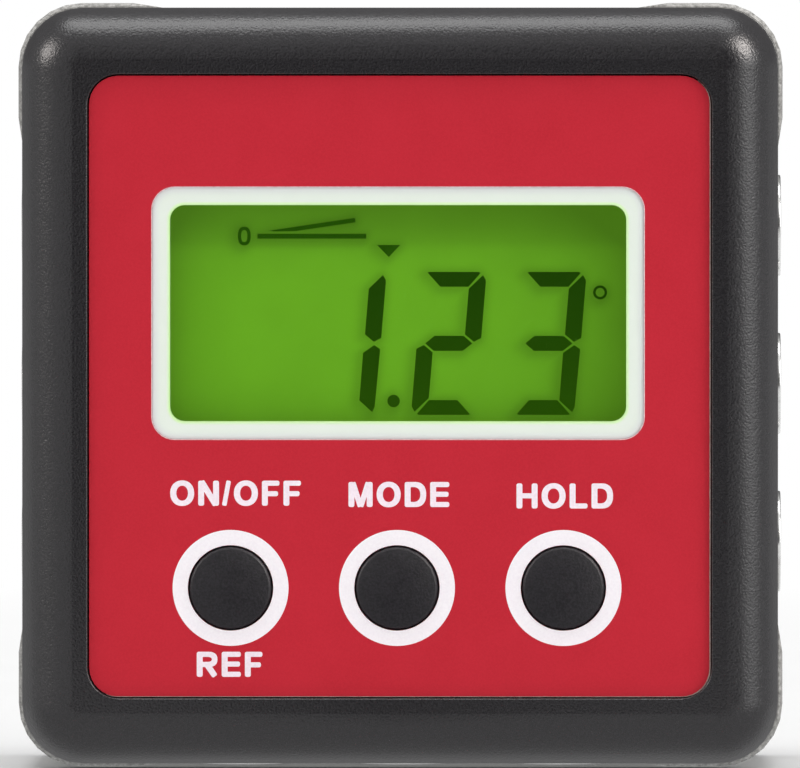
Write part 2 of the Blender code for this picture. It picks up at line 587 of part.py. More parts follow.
def make_display_stack():
    """Lens, polarizers, the two glasses of the liquid crystal cell, the light guide and its strip"""
    layers = (
        ("window_lens", LENS_WIDTH, LENS_HEIGHT, LENS_CORNER, LENS_FRONT, LENS_THICKNESS, CLEAR),
        ("front_polarizer", LENS_WIDTH, LENS_HEIGHT, LENS_CORNER, FRONT_POLARIZER, POLARIZER, FILM),
        ("rear_glass", CELL_WIDTH, CELL_HEIGHT, 0.0, REAR_GLASS, CELL_GLASS, GLASS),
        ("rear_polarizer", CELL_WIDTH, CELL_HEIGHT, 0.0, REAR_POLARIZER, POLARIZER, FILM),
        ("light_guide", CELL_WIDTH, CELL_HEIGHT, 0.0, GUIDE_FRONT, GUIDE_THICKNESS, GUIDE),
    )
    for name, width, height, corner, front, thickness, finish in layers:
        add_part(name, block(width, height, front, front + thickness, corner, 4),
                 middle(front, front + thickness, DISPLAY_SHIFT, WINDOW_Z), finish)
    ledge_z = WINDOW_Z + CELL_LEDGE / 2
    add_part("front_glass", block(CELL_WIDTH, CELL_HEIGHT + CELL_LEDGE, FRONT_GLASS, FRONT_GLASS_BACK),
             middle(FRONT_GLASS, FRONT_GLASS_BACK, DISPLAY_SHIFT, ledge_z), GLASS)
    strip_front = FRONT_GLASS_BACK + GAP
    strip_z = CELL_TOP + GAP + STRIP_HEIGHT / 2
    add_part("connector_strip", block(STRIP_LENGTH, STRIP_HEIGHT, strip_front, GUIDE_BACK),
             middle(strip_front, GUIDE_BACK, DISPLAY_SHIFT, strip_z), ELASTOMER)
    led_z = HOLDER_BOTTOM + GAP + LED_HEIGHT / 2
    for name, sign in (("backlight_led_left", -1), ("backlight_led_right", 1)):
        place = middle(GUIDE_FRONT, GUIDE_BACK, DISPLAY_SHIFT + sign * LED_SPACING / 2, led_z)
        add_part(name, block(LED_LENGTH, LED_HEIGHT, GUIDE_FRONT, GUIDE_BACK), place, WHITE_MOULDING)


def key_profile():
    """Half section of a key: crown, rounded edge, side, flange and stem; heights from the flange front"""
    radius = KEY_HOLE_RADIUS - KEY_CLEARANCE
    crown = KEY_FLANGE_FRONT - KEY_FRONT
    flange_back = -KEY_FLANGE_THICKNESS
    stem_back = KEY_FLANGE_FRONT - KEY_STEM_BACK
    shoulder = crown - KEY_DOME
    profile = [(0.0, crown), (radius / 2, crown - KEY_SHOULDER_DROP)]
    profile += arc(radius - KEY_EDGE, shoulder - KEY_EDGE, KEY_EDGE, KEY_EDGE_START, 0, 3)
    profile += [(radius, 0.0), (KEY_FLANGE_RADIUS, 0.0), (KEY_FLANGE_RADIUS, flange_back)]
    profile += [(KEY_STEM_RADIUS, flange_back), (KEY_STEM_RADIUS, stem_back), (0.0, stem_back)]
    return profile


def make_keys():
    for name, (x, z) in zip(KEY_NAMES, key_places()):
        seat = Vector((x, KEY_FLANGE_FRONT, z))
        cap = turned(f"key_{name}", key_profile(), KEY_BLACK, 24, seat, FACING_FRONT)
        height = PLUNGER_PROUD + PLUNGER_SUNK
        plunger = add_part(f"switch_plunger_{name}",
                           rods(PLUNGER_RADIUS, -height / 2, height / 2, [(0.0, 0.0)], 16),
                           Vector((x, PLUNGER_FRONT + height / 2, z)), CHIP_BLACK)
        plunger.parent = cap
        plunger.matrix_parent_inverse = cap_inverse(cap)

        body = add_part(f"switch_body_{name}", block(SWITCH_SIZE, SWITCH_SIZE, SWITCH_FRONT, SWITCH_BACK),
                        middle(SWITCH_FRONT, SWITCH_BACK, x, z), STEEL)
        well = rods(PLUNGER_RADIUS + GAP, SWITCH_FRONT - OVERSHOOT, SWITCH_FRONT + PLUNGER_WELL, [(x, z)], 16)
        cut(body, add_tool(f"switch_well_{name}", well, Vector()))


def cap_inverse(cap):
    return (Matrix.Translation(cap.location) @ cap.rotation_euler.to_matrix().to_4x4()).inverted()


def make_board():
    """Main board: a square plate notched for the frame's lugs, screwed to the front cover's pillars"""
    plate = block(BOARD_SIZE, BOARD_SIZE, BOARD_FRONT, BOARD_BACK, BOARD_CORNER, 3)
    board = add_part("main_board", plate, middle(BOARD_FRONT, BOARD_BACK), BOARD_GREEN)
    notch = 2 * (LUG_SIZE + GAP + BOARD_SIZE / 2 - (FRAME_SIZE / 2 - FRAME_WALL))
    for index, (x, z) in enumerate(LUG_PLACES):
        corner = Vector((math.copysign(BOARD_SIZE / 2, x), (BOARD_FRONT + BOARD_BACK) / 2,
                         CENTRE_Z + math.copysign(BOARD_SIZE / 2, z - CENTRE_Z)))
        tool = block(notch, notch, BOARD_FRONT - OVERSHOOT, BOARD_BACK + OVERSHOOT)
        cut(board, add_tool(f"board_notch_{index + 1}", tool, corner))
    holes = rods(SCREW_HOLE_RADIUS, BOARD_FRONT - OVERSHOOT, BOARD_BACK + OVERSHOOT, BOARD_PLACES, 12)
    cut(board, add_tool("board_holes", holes, Vector()))

    chip_front = BOARD_BACK + GAP
    chip_back = chip_front + CHIP_THICKNESS
    add_part("controller_chip", block(CHIP_SIZE, CHIP_SIZE, chip_front, chip_back),
             middle(chip_front, chip_back, -SENSOR_SIZE, CENTRE_Z), CHIP_BLACK)
    sensor_back = chip_front + SENSOR_THICKNESS
    add_part("tilt_sensor", block(SENSOR_SIZE, SENSOR_SIZE, chip_front, sensor_back),
             middle(chip_front, sensor_back, CHIP_SIZE, CENTRE_Z), CHIP_BLACK)


def screw_profile(shank):
    """Half section of a screw with a flat-topped round head; the underside of the head is at zero"""
    chamfer = SCREW_HEAD_HEIGHT / 4
    return [(0.0, SCREW_HEAD_HEIGHT), (SCREW_HEAD_RADIUS - chamfer, SCREW_HEAD_HEIGHT),
            (SCREW_HEAD_RADIUS, SCREW_HEAD_HEIGHT - chamfer), (SCREW_HEAD_RADIUS, 0.0),
            (SCREW_RADIUS, 0.0), (SCREW_RADIUS, SCREW_RADIUS - shank),
            (0.3 * SCREW_RADIUS, -shank), (0.0, -shank)]


def cross_recess(screw, name, place):
    """Cut a cross slot into the head with two bars"""
    reach = 1.1 * SCREW_RADIUS
    width = 0.45 * SCREW_RADIUS
    depth = 0.6 * SCREW_HEAD_HEIGHT
    cut(screw, add_tool(f"{name}_bar_across", cube(2 * reach, 2 * depth, width), place))
    cut(screw, add_tool(f"{name}_bar_upright", cube(width, 2 * depth, 2 * reach), place))


def make_screws():
    """Front screws under the label, case screws from the back, board screws from inside"""
    front_seat = RECESS_FLOOR + SCREW_HEAD_HEIGHT - GAP / 2
    rear_seat = REAR - COUNTERBORE_DEPTH + GAP
    board_seat = BOARD_BACK + GAP
    rows = (
        ("front_screw", LUG_PLACES, front_seat, -LUG_END + FRONT_SCREW_BITE - front_seat, -1),
        ("case_screw", LUG_PLACES, rear_seat, rear_seat - (LUG_END - CASE_SCREW_BITE), 1),
        ("board_screw", BOARD_PLACES, board_seat, board_seat - (GUIDE_BACK - BOARD_SCREW_BITE), 1),
    )
    for name, places, seat, shank, facing in rows:
        rotation = FACING_FRONT if facing < 0 else FACING_REAR
        for number, (x, z) in enumerate(places, start=1):
            title = f"{name}_{number}"
            screw = turned(title, screw_profile(shank), STEEL, 14, Vector((x, seat, z)), rotation)
            if name == "case_screw":
                cross_recess(screw, title, Vector((x, seat + SCREW_HEAD_HEIGHT, z)))


def make_rear_cover():
    """Rear cover with screw posts, the battery bay and the opening that the door closes"""
    cover = cover_shell("rear_cover", REAR, 1, REAR_WALL_FRONT)
    root = REAR - REAR_WALL / 2
    fuse(cover, add_tool("rear_posts", rods(REAR_POST_RADIUS, TONGUE_END, root, LUG_PLACES, 18), Vector()))
    bay = block(BAY_LENGTH + 2 * BAY_WALL, BAY_HEIGHT + 2 * BAY_WALL, BAY_FRONT, root, BAY_WALL, 3)
    fuse(cover, add_tool("bay_outside", bay, middle(BAY_FRONT, root)))
    room = block(BAY_LENGTH, BAY_HEIGHT, BAY_FLOOR, REAR_WALL_FRONT)
    cut(cover, add_tool("bay_room", room, middle(BAY_FLOOR, REAR_WALL_FRONT)))
    front, back = REAR_WALL_FRONT - OVERSHOOT, REAR + OVERSHOOT
    opening = block(OPENING_WIDTH, OPENING_HEIGHT, front, back, DOOR_CORNER + GAP, 4)
    cut(cover, add_tool("door_opening", opening, middle(front, back)))

    rib_back = CELL_Y - 0.4 * CELL_RADIUS
    rib = block(0.7 * BAY_LENGTH, 2 * GAP, BAY_FLOOR - BAY_WALL / 2, rib_back)
    fuse(cover, add_tool("bay_rib", rib, middle(BAY_FLOOR - BAY_WALL / 2, rib_back)))

    ways = rods(SCREW_HOLE_RADIUS, TONGUE_END - OVERSHOOT, REAR, LUG_PLACES, 12)
    cut(cover, add_tool("rear_screw_ways", ways, Vector()))
    bores = rods(SCREW_HEAD_RADIUS + GAP, REAR - COUNTERBORE_DEPTH, REAR + OVERSHOOT, LUG_PLACES, 20)
    cut(cover, add_tool("rear_counterbores", bores, Vector()))

    for name, z in (("upper", UPPER_CELL_Z), ("lower", LOWER_CELL_Z)):
        front, back = BAY_FRONT - OVERSHOOT, BAY_FLOOR + OVERSHOOT
        slot = block(CONTACT_THICKNESS + 2 * GAP, TAIL_WIDTH + 2 * GAP, front, back)
        place = middle(front, back, CONTACT_FACE + CONTACT_THICKNESS / 2, z)
        cut(cover, add_tool(f"{name}_tail_slot", slot, place))

    scoop = rods(FINGER_RADIUS, REAR - FINGER_DEPTH, REAR + OVERSHOOT, [(OPENING_WIDTH / 2, CENTRE_Z)], 24)
    cut(cover, add_tool("finger_scoop", scoop, Vector()))
    return cover


def make_battery_door():
    """Lid with two hooked tabs at its hinge end, a sprung latch at the other and a stiffening rib"""
    hinge = Vector((HINGE_X, REAR, CENTRE_Z))
    panel = block(DOOR_WIDTH, DOOR_HEIGHT, DOOR_FRONT, REAR, DOOR_CORNER, 4)
    bmesh.ops.translate(panel, vec=middle(DOOR_FRONT, REAR) - hinge, verts=panel.verts)
    door = add_part("battery_door", panel, hinge, CHARCOAL)

    tab_z = DOOR_HEIGHT / 2 - DOOR_CORNER - DOOR_TAB_WIDTH / 2
    edge = -DOOR_WIDTH / 2
    for index, sign in enumerate((-1, 1), start=1):
        z = CENTRE_Z + sign * tab_z
        neck = cube(DOOR_NECK, DOOR_FRONT - TAB_FRONT + DOOR_THICKNESS / 2, DOOR_TAB_WIDTH)
        neck_y = TAB_FRONT + (DOOR_FRONT - TAB_FRONT + DOOR_THICKNESS / 2) / 2
        fuse(door, add_tool(f"door_neck_{index}", neck, Vector((edge + DOOR_NECK / 2, neck_y, z))))
        hook = cube(DOOR_TAB_REACH + DOOR_NECK / 2, DOOR_TAB_THICKNESS, DOOR_TAB_WIDTH)
        hook_x = edge + (DOOR_NECK / 2 - DOOR_TAB_REACH) / 2
        fuse(door, add_tool(f"door_hook_{index}", hook, Vector((hook_x, (TAB_FRONT + TAB_BACK) / 2, z))))

    rib = cube(0.6 * DOOR_WIDTH, DOOR_THICKNESS, 2 * GAP)
    fuse(door, add_tool("door_rib", rib, Vector((0.0, DOOR_FRONT, CENTRE_Z))))

    nib = cube(LATCH_NIB + DOOR_NECK, DOOR_THICKNESS / 2, LATCH_WIDTH / 2)
    nib_x = DOOR_WIDTH / 2 + (LATCH_NIB - DOOR_NECK) / 2
    fuse(door, add_tool("latch_nib", nib, Vector((nib_x, DOOR_FRONT + DOOR_THICKNESS / 4, CENTRE_Z))))
    for name, sign in (("lower", -1), ("upper", 1)):
        slot = block(LATCH_LENGTH + OVERSHOOT, LATCH_SLOT, DOOR_FRONT - OVERSHOOT, REAR + OVERSHOOT)
        place = middle(DOOR_FRONT, REAR, DOOR_WIDTH / 2 - LATCH_LENGTH / 2 + OVERSHOOT / 2,
                       CENTRE_Z + sign * (LATCH_WIDTH + LATCH_SLOT) / 2)
        cut(door, add_tool(f"{name}_latch_slot", slot, place))
    return door


def cell_profile():
    """Half section of a cell standing on its flat end, its nub on top"""
    shoulder = CELL_LENGTH - CELL_NUB_LENGTH
    edge = 0.5 * MM
    profile = [(0.0, CELL_LENGTH), (CELL_NUB_RADIUS, CELL_LENGTH), (CELL_NUB_RADIUS, shoulder)]
    profile += arc(CELL_RADIUS - edge, shoulder - edge, edge, 90, 0, 2)
    profile += arc(CELL_RADIUS - edge, edge, edge, 0, -90, 2)
    profile.append((0.0, 0.0))
    return profile


def spring_curve(name, start, direction):
    """A cone spring along X, its wide end at the contact plate and its narrow end at the cell"""
    turns = 2.5
    points_per_turn = 10
    length = SPRING_LENGTH - 2 * SPRING_WIRE_RADIUS
    wide = 0.55 * CELL_RADIUS
    narrow = 0.3 * CELL_RADIUS
    data = bpy.data.curves.new(name, "CURVE")
    data.dimensions = "3D"
    data.bevel_depth = SPRING_WIRE_RADIUS
    data.bevel_resolution = 1
    data.use_fill_caps = True
    line = data.splines.new("POLY")
    count = int(turns * points_per_turn) + 1
    line.points.add(count - 1)
    for index in range(count):
        share = index / (count - 1)
        angle = 2 * math.pi * turns * share
        radius = wide + (narrow - wide) * share
        x = direction * (SPRING_WIRE_RADIUS + length * share)
        line.points[index].co = (x, radius * math.cos(angle), radius * math.sin(angle), 1.0)
    data.materials.append(NICKEL)
    item = bpy.data.objects.new(name, data)
    item.location = start
    PARTS.objects.link(item)
    return item


def contact_plate(name, side, z, height, tail):
    """A sheet contact on the end wall of the bay, with a tail through the bay floor to the board"""
    depth = 2 * (CELL_Y - BAY_FLOOR) * 0.7
    x = side * (CONTACT_FACE + CONTACT_THICKNESS / 2)
    plate = add_part(name, cube(CONTACT_THICKNESS, depth, height), Vector((x, CELL_Y - GAP, z)), NICKEL)
    if tail:
        front = BOARD_BACK + GAP
        length = CELL_Y - front
        strip = cube(CONTACT_THICKNESS, length, TAIL_WIDTH)
        fuse(plate, add_tool(f"{name}_tail", strip, Vector((x, front + length / 2, z))))
    return plate


def make_power():
    """Two cells in series, head to tail, between a bridge contact and two single contacts"""
    towards_right = (0.0, math.radians(90), 0.0)
    towards_left = (0.0, math.radians(-90), 0.0)
    cell_end = CONTACT_FACE - GAP
    cells = (("battery_upper", cell_end - CELL_LENGTH, UPPER_CELL_Z, towards_right),
             ("battery_lower", CELL_LENGTH - cell_end, LOWER_CELL_Z, towards_left))
    for name, x, z, rotation in cells:
        turned(name, cell_profile(), CELL_SLEEVE, 20, Vector((x, CELL_Y, z)), rotation)
    contact_plate("positive_contact", 1, UPPER_CELL_Z, CONTACT_WIDTH, True)
    contact_plate("negative_contact", 1, LOWER_CELL_Z, CONTACT_WIDTH, True)
    contact_plate("bridge_contact", -1, CENTRE_Z, CELL_SPACING + CONTACT_WIDTH, False)
    spring_curve("negative_spring", Vector((CONTACT_FACE - GAP / 2, CELL_Y, LOWER_CELL_Z)), -1)
    spring_curve("bridge_spring", Vector((GAP / 2 - CONTACT_FACE, CELL_Y, UPPER_CELL_Z)), 1)


make_frame()
make_magnets()
make_front_cover()
make_label()
make_display_surround()
make_display_stack()
make_keys()
make_board()
make_rear_cover()
make_battery_door()
make_power()
make_screws()
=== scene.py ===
# Looks, printed marks, light and camera of the digital angle gauge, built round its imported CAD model.
# Metres in the model's own frame: the front faces -Y and Z is up. Outlines are (x, z) in millimetres.
import json
import math

import bmesh
import bpy
import numpy as np
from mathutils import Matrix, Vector
from mathutils.geometry import delaunay_2d_cdt

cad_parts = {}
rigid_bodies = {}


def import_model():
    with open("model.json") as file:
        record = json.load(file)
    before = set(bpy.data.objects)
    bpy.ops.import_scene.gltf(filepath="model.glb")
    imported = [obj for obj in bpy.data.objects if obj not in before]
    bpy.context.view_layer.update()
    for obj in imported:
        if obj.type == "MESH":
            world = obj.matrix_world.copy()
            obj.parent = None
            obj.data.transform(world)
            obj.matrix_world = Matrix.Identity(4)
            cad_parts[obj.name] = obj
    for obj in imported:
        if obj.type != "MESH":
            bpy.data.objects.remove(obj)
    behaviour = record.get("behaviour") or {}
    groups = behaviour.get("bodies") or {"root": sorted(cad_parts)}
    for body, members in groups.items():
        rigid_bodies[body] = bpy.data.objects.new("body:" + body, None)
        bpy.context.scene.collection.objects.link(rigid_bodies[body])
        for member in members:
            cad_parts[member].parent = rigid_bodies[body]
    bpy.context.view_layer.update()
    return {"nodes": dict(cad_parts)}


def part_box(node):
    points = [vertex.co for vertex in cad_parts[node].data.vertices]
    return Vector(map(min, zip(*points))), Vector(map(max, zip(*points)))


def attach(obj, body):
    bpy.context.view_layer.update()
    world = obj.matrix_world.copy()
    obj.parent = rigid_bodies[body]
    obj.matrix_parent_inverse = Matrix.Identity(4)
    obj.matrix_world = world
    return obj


for left_over in list(bpy.data.objects):
    bpy.data.objects.remove(left_over, do_unlink=True)

MM = 0.001
HOUSING = "housing"

# What the CAD part is like where the boxes of its nodes don't tell
WINDOW_HALF = (19.2, 9.825)
WINDOW_CORNER = 1.75
LENS_OVERLAP = 1.0
VIEW_CORNER = 1.15
KEY_HOLE_RADIUS = 3.34
LABEL_CORNER = 2.18
FRAME_HALF = 30.0
FRONT_EDGE = 16.5

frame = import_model()
NODES = frame["nodes"]

LABEL_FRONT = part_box("face_label")[0].y
SURROUND_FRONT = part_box("display_surround")[0].y
POLARIZER_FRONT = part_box("front_polarizer")[0].y


def middle_mm(node):
    """The (x, z) middle of a CAD node, in millimetres"""
    low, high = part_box(node)
    return (low.x + high.x) / 2 / MM, (low.z + high.z) / 2 / MM


VIEW_X, VIEW_Z = middle_mm("window_lens")
LENS_LOW, LENS_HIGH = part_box("window_lens")
VIEW_HALF = ((LENS_HIGH.x - LENS_LOW.x) / 2 / MM - LENS_OVERLAP,
             (LENS_HIGH.z - LENS_LOW.z) / 2 / MM - LENS_OVERLAP)


class Graph:
    """A tree of shader nodes and the few kinds of node that every look needs"""

    def __init__(self, tree):
        self.tree = tree

    def feed(self, socket, value):
        """Link the socket to another node's output, or set its own number or colour"""
        if isinstance(value, bpy.types.NodeSocket):
            self.tree.links.new(value, socket)
        elif socket.type == "RGBA" and len(value) == 3:
            socket.default_value = (*value, 1.0)
        else:
            socket.default_value = value

    def node(self, kind, inputs=None, **settings):
        made = self.tree.nodes.new(kind)
        for key, value in settings.items():
            setattr(made, key, value)
        for socket, value in (inputs or {}).items():
            self.feed(made.inputs[socket], value)
        return made

    def maths(self, operation, first, second=0.0):
        return self.node("ShaderNodeMath", {0: first, 1: second}, operation=operation).outputs[0]

    def vectors(self, operation, first, second):
        return self.node("ShaderNodeVectorMath", {0: first, 1: second}, operation=operation).outputs

    def span(self, value, low, high, start=0.0, end=1.0, smooth=False):
        """From start to end while the value goes from low to high, and level beyond them"""
        kind = "SMOOTHSTEP" if smooth else "LINEAR"
        made = self.node("ShaderNodeMapRange", {"Value": value, "From Min": low, "From Max": high,
                                                "To Min": start, "To Max": end}, interpolation_type=kind)
        return made.outputs["Result"]


SOCKETS = {"specular": "Specular IOR Level", "coat": "Coat Weight", "coat_rough": "Coat Roughness",
           "transmission": "Transmission Weight", "ior": "IOR", "glow": "Emission Strength",
           "glow_colour": "Emission Color"}


class Look(Graph):
    """A Principled material whose textures are measured in millimetres of the model's frame"""

    def __init__(self, name, colour, roughness, metallic=0.0, **constants):
        self.material = bpy.data.materials.new(name)
        self.material.use_nodes = True
        super().__init__(self.material.node_tree)
        self.shader = self.tree.nodes["Principled BSDF"]
        self.colour(colour)
        self.set("Roughness", roughness)
        self.set("Metallic", metallic)
        for socket, value in constants.items():
            self.set(SOCKETS[socket], value)
        self.place = None
        self.normal = None

    def set(self, socket, value):
        self.feed(self.shader.inputs[socket], value)

    def colour(self, value):
        self.set("Base Color", value)

    def millimetres(self):
        if self.place is None:
            local = self.node("ShaderNodeTexCoord").outputs["Object"]
            scaled = self.node("ShaderNodeVectorMath", {0: local, "Scale": 1 / MM}, operation="SCALE")
            self.place = scaled.outputs[0]
        return self.place

    def stretched(self, x, y, z):
        return self.vectors("MULTIPLY", self.millimetres(), (x, y, z))[0]

    def axes(self):
        return self.node("ShaderNodeSeparateXYZ", {0: self.millimetres()}).outputs

    def noise(self, scale, detail=2.0, rough=0.5, place=None):
        made = self.node("ShaderNodeTexNoise", {"Vector": place or self.millimetres(), "Scale": scale,
                                                "Detail": detail, "Roughness": rough})
        return made.outputs["Fac"]

    def cells(self, scale):
        made = self.node("ShaderNodeTexVoronoi", {"Vector": self.millimetres(), "Scale": scale})
        return made.outputs["Distance"]

    def waves(self, scale):
        made = self.node("ShaderNodeTexWave", {"Vector": self.millimetres(), "Scale": scale,
                                               "Distortion": 0.0}, bands_direction="X")
        return made.outputs["Fac"]

    def ramp(self, value, stops):
        """A grey scale: each stop is (place, level)"""
        made = self.node("ShaderNodeValToRGB", {"Fac": value})
        steps = made.color_ramp.elements
        for place in stops[2:]:
            steps.new(place[0])
        for step, (place, level) in zip(steps, sorted(stops)):
            step.position = place
            step.color = (level, level, level, 1.0)
        return made.outputs["Color"]

    def mix(self, factor, first, second):
        return self.node("ShaderNodeMix", {0: factor, 6: first, 7: second}, data_type="RGBA").outputs[2]

    def bump(self, height, depth, strength=1.0):
        """Raise the surface by depth millimetres where the height is 1"""
        inputs = {"Height": height, "Distance": depth * MM, "Strength": strength}
        if self.normal is not None:
            inputs["Normal"] = self.normal
        self.normal = self.node("ShaderNodeBump", inputs).outputs["Normal"]
        self.set("Normal", self.normal)

    def window_distance(self, half, corner, centre):
        """Millimetres outside a rounded rectangle on the front face, negative inside it"""
        x, _, z = self.axes()
        beyond = []
        for value, middle, size in ((x, centre[0], half[0]), (z, centre[1], half[1])):
            offset = self.maths("ABSOLUTE", self.maths("SUBTRACT", value, middle))
            beyond.append(self.maths("SUBTRACT", offset, size - corner))
        outside = [self.maths("MAXIMUM", value, 0.0) for value in beyond]
        squares = [self.maths("MULTIPLY", value, value) for value in outside]
        far = self.maths("SQRT", self.maths("ADD", *squares))
        near = self.maths("MINIMUM", self.maths("MAXIMUM", *beyond), 0.0)
        return self.maths("SUBTRACT", self.maths("ADD", far, near), corner)


def charcoal_plastic():
    """Spark-eroded moulding: a fine even grain that breaks up the highlights and dulls them edge on"""
    look = Look("moulded_charcoal", (0.0086, 0.0077, 0.0092), 0.30, specular=0.48)
    grain = look.noise(6.0, 1.3, 0.5)
    cloud = look.noise(0.12, 2.0)
    shade = look.mix(look.span(grain, 0.35, 0.65), (0.0055, 0.0046, 0.0061), (0.0122, 0.0106, 0.0130))
    look.colour(look.mix(look.span(cloud, 0.3, 0.7, 0.0, 0.25), shade, (0.0098, 0.0085, 0.0104)))
    edge_on = look.node("ShaderNodeLayerWeight").outputs["Facing"]
    duller = look.span(edge_on, 0.40, 0.85, 0.0, 0.34)
    look.set("Roughness", look.maths("ADD", look.span(grain, 0.3, 0.7, 0.24, 0.31), duller))
    look.bump(grain, 0.030, 1.0)
    return look.material


def key_plastic():
    """Soft-touch keys, a shade more violet and more matte than the cover"""
    look = Look("key_soft_black", (0.006, 0.005, 0.008), 0.45, specular=0.32)
    grain = look.noise(6.0, 1.6, 0.55)
    look.colour(look.mix(look.span(grain, 0.35, 0.65), (0.0016, 0.0010, 0.0028), (0.0105, 0.0085, 0.0125)))
    look.set("Roughness", look.span(look.noise(0.8, 2.0), 0.3, 0.7, 0.42, 0.50))
    look.bump(grain, 0.020, 1.0)
    return look.material


# How far below the frame's outermost planes the ground finish begins and is full, in millimetres
GROUND_DEPTH = (0.10, 0.04)


def cast_aluminium():
    """Blasted casting; its outermost planes are ground pads with fine grinding lines"""
    look = Look("cast_aluminium_finish", (0.38, 0.38, 0.37), 0.82, 1.0)
    x, _, z = look.axes()
    height = look.maths("ABSOLUTE", look.maths("SUBTRACT", z, FRAME_HALF))
    reach = look.maths("MAXIMUM", look.maths("ABSOLUTE", x), height)
    ground = look.span(reach, FRAME_HALF - GROUND_DEPTH[0], FRAME_HALF - GROUND_DEPTH[1])
    sand = look.noise(3.2, 4.0, 0.65)
    pits = look.span(look.cells(1.9), 0.05, 0.45)
    rough_part = look.maths("SUBTRACT", 1.0, ground)
    look.bump(look.maths("MULTIPLY", sand, rough_part), 0.040, 0.9)
    look.bump(look.maths("MULTIPLY", pits, rough_part), 0.014, 0.5)
    lines = look.noise(9.0, 2.0, 0.5, look.stretched(1.0, 0.03, 1.0))
    look.bump(look.maths("MULTIPLY", lines, ground), 0.004, 0.5)
    cast = look.mix(look.span(sand, 0.32, 0.68), (0.19, 0.19, 0.185), (0.43, 0.43, 0.42))
    milled = look.mix(look.span(lines, 0.3, 0.7), (0.28, 0.28, 0.275), (0.38, 0.38, 0.375))
    look.colour(look.mix(ground, cast, milled))
    look.set("Roughness", look.span(ground, 0.0, 1.0, 0.82, 0.80))
    return look.material


def label_red():
    """Screen-printed red on a satin polyester film"""
    look = Look("label_print_red", (0.51, 0.014, 0.028), 0.42, specular=0.15)
    weave = look.noise(7.0, 3.0, 0.6)
    cloud = look.noise(0.35, 2.0)
    even = look.mix(look.span(cloud, 0.3, 0.7), (0.495, 0.0122, 0.0270), (0.520, 0.0140, 0.0305))
    look.colour(look.mix(look.span(weave, 0.35, 0.65, 0.0, 0.5), even, (0.58, 0.021, 0.039)))
    look.set("Roughness", look.span(weave, 0.3, 0.7, 0.38, 0.48))
    look.bump(weave, 0.004, 0.6)
    return look.material


def surround_white():
    """Translucent white moulding: a painted bluish shade along its outer edge and a painted backlight glow
    along its inner edge
    """
    look = Look("surround_painted_shade_and_glow", (0.80, 0.84, 0.80), 0.35, specular=0.3)
    outer = look.window_distance(WINDOW_HALF, WINDOW_CORNER, (VIEW_X, VIEW_Z))
    inner = look.window_distance(VIEW_HALF, VIEW_CORNER, (VIEW_X, VIEW_Z))
    cloud = look.noise(1.4, 2.0)
    # Painted shade: bluish grey within 0.75 mm of the outer edge, where the label's step would shade the
    # moulding
    body = look.mix(look.span(outer, -0.75, 0.0, smooth=True), (0.79, 0.865, 0.775), (0.72, 0.77, 0.76))
    body = look.mix(look.span(cloud, 0.2, 0.8, 0.0, 0.15), body, (0.80, 0.86, 0.80))
    # Painted glow: green colour and light within 0.32 mm of the inner edge, in place of the backlight
    # shining through
    depth = look.span(inner, 0.0, 0.32, smooth=True)
    look.colour(look.mix(depth, (0.64, 0.86, 0.43), body))
    look.set("Emission Color", look.mix(depth, (0.01, 0.07, 0.0), (0, 0, 0)))
    look.set("Emission Strength", 1.0)
    look.bump(look.noise(3.0, 2.0), 0.004, 0.5)
    return look.material


def lens_clear():
    """Hard-coated acrylic lens with the faintest of surface ripple"""
    look = Look("lens_acrylic", (0.97, 0.99, 0.97), 0.02, transmission=1.0, ior=1.02, specular=0.0,
                coat=0.12, coat_rough=0.03)
    look.bump(look.noise(0.25, 1.0), 0.002, 0.3)
    return look.material


# How light the field is below its top edge: (share of TOP_REACH millimetres down, brightness)
TOP_REACH = 6.0
TOP_SHADE = ((0.05, 0.55), (0.23, 0.61), (0.33, 0.66), (0.47, 0.75), (0.58, 0.89), (0.73, 0.955), (1.0, 1.0))
# How far the other edges darken it: (depth of the shade, millimetres in which it fades)
LEFT_SHADE = (0.41, 2.1)
RIGHT_SHADE = (0.47, 5.0)
LOW_SHADE = (0.34, 1.55)
DARKEST_FIELD = 0.44
SHADED_BY_INK = 0.76


def display_field():
    """The lit field: green, darker towards its edges and round the dark segments"""
    look = Look("display_green_field", (0.002, 0.006, 0.001), 0.35, specular=0.0)
    x, _, z = look.axes()
    below_top = look.maths("SUBTRACT", VIEW_Z + VIEW_HALF[1], z)
    fall = look.ramp(look.span(below_top, 0.0, TOP_REACH), TOP_SHADE)
    sides = ((look.maths("SUBTRACT", x, VIEW_X - VIEW_HALF[0]), LEFT_SHADE),
             (look.maths("SUBTRACT", VIEW_X + VIEW_HALF[0], x), RIGHT_SHADE),
             (look.maths("SUBTRACT", z, VIEW_Z - VIEW_HALF[1]), LOW_SHADE))
    for inward, (depth, reach) in sides:
        fading = look.maths("EXPONENT", look.maths("MULTIPLY", inward, -1 / reach))
        share = look.maths("SUBTRACT", 1.0, look.maths("MULTIPLY", fading, depth))
        fall = look.maths("MULTIPLY", share, fall)
    fall = look.maths("MAXIMUM", fall, DARKEST_FIELD)
    shade = look.node("ShaderNodeAttribute", attribute_name="shade").outputs["Fac"]
    fall = look.maths("MULTIPLY", fall, look.span(shade, 0.0, 1.0, 1.0, SHADED_BY_INK))
    cloud = look.span(look.noise(0.22, 2.0), 0.3, 0.7, 0.97, 1.03)
    fall = look.maths("MULTIPLY", fall, cloud)
    inner = look.window_distance(VIEW_HALF, VIEW_CORNER, (VIEW_X, VIEW_Z))
    lit = look.mix(look.span(fall, 0.4, 1.0), (0.137, 0.380, 0.0168), (0.134, 0.382, 0.0155))
    spill = look.span(inner, -0.20, 0.0, 0.0, 1.0, smooth=True)
    look.set("Emission Color", look.mix(spill, lit, (0.15, 0.39, 0.022)))
    look.set("Emission Strength", fall)
    look.bump(look.noise(4.0, 2.0), 0.002, 0.3)
    return look.material


# The heights of the digits' feet and tops, in millimetres
DIGIT_REACH = (28.0, 38.0)


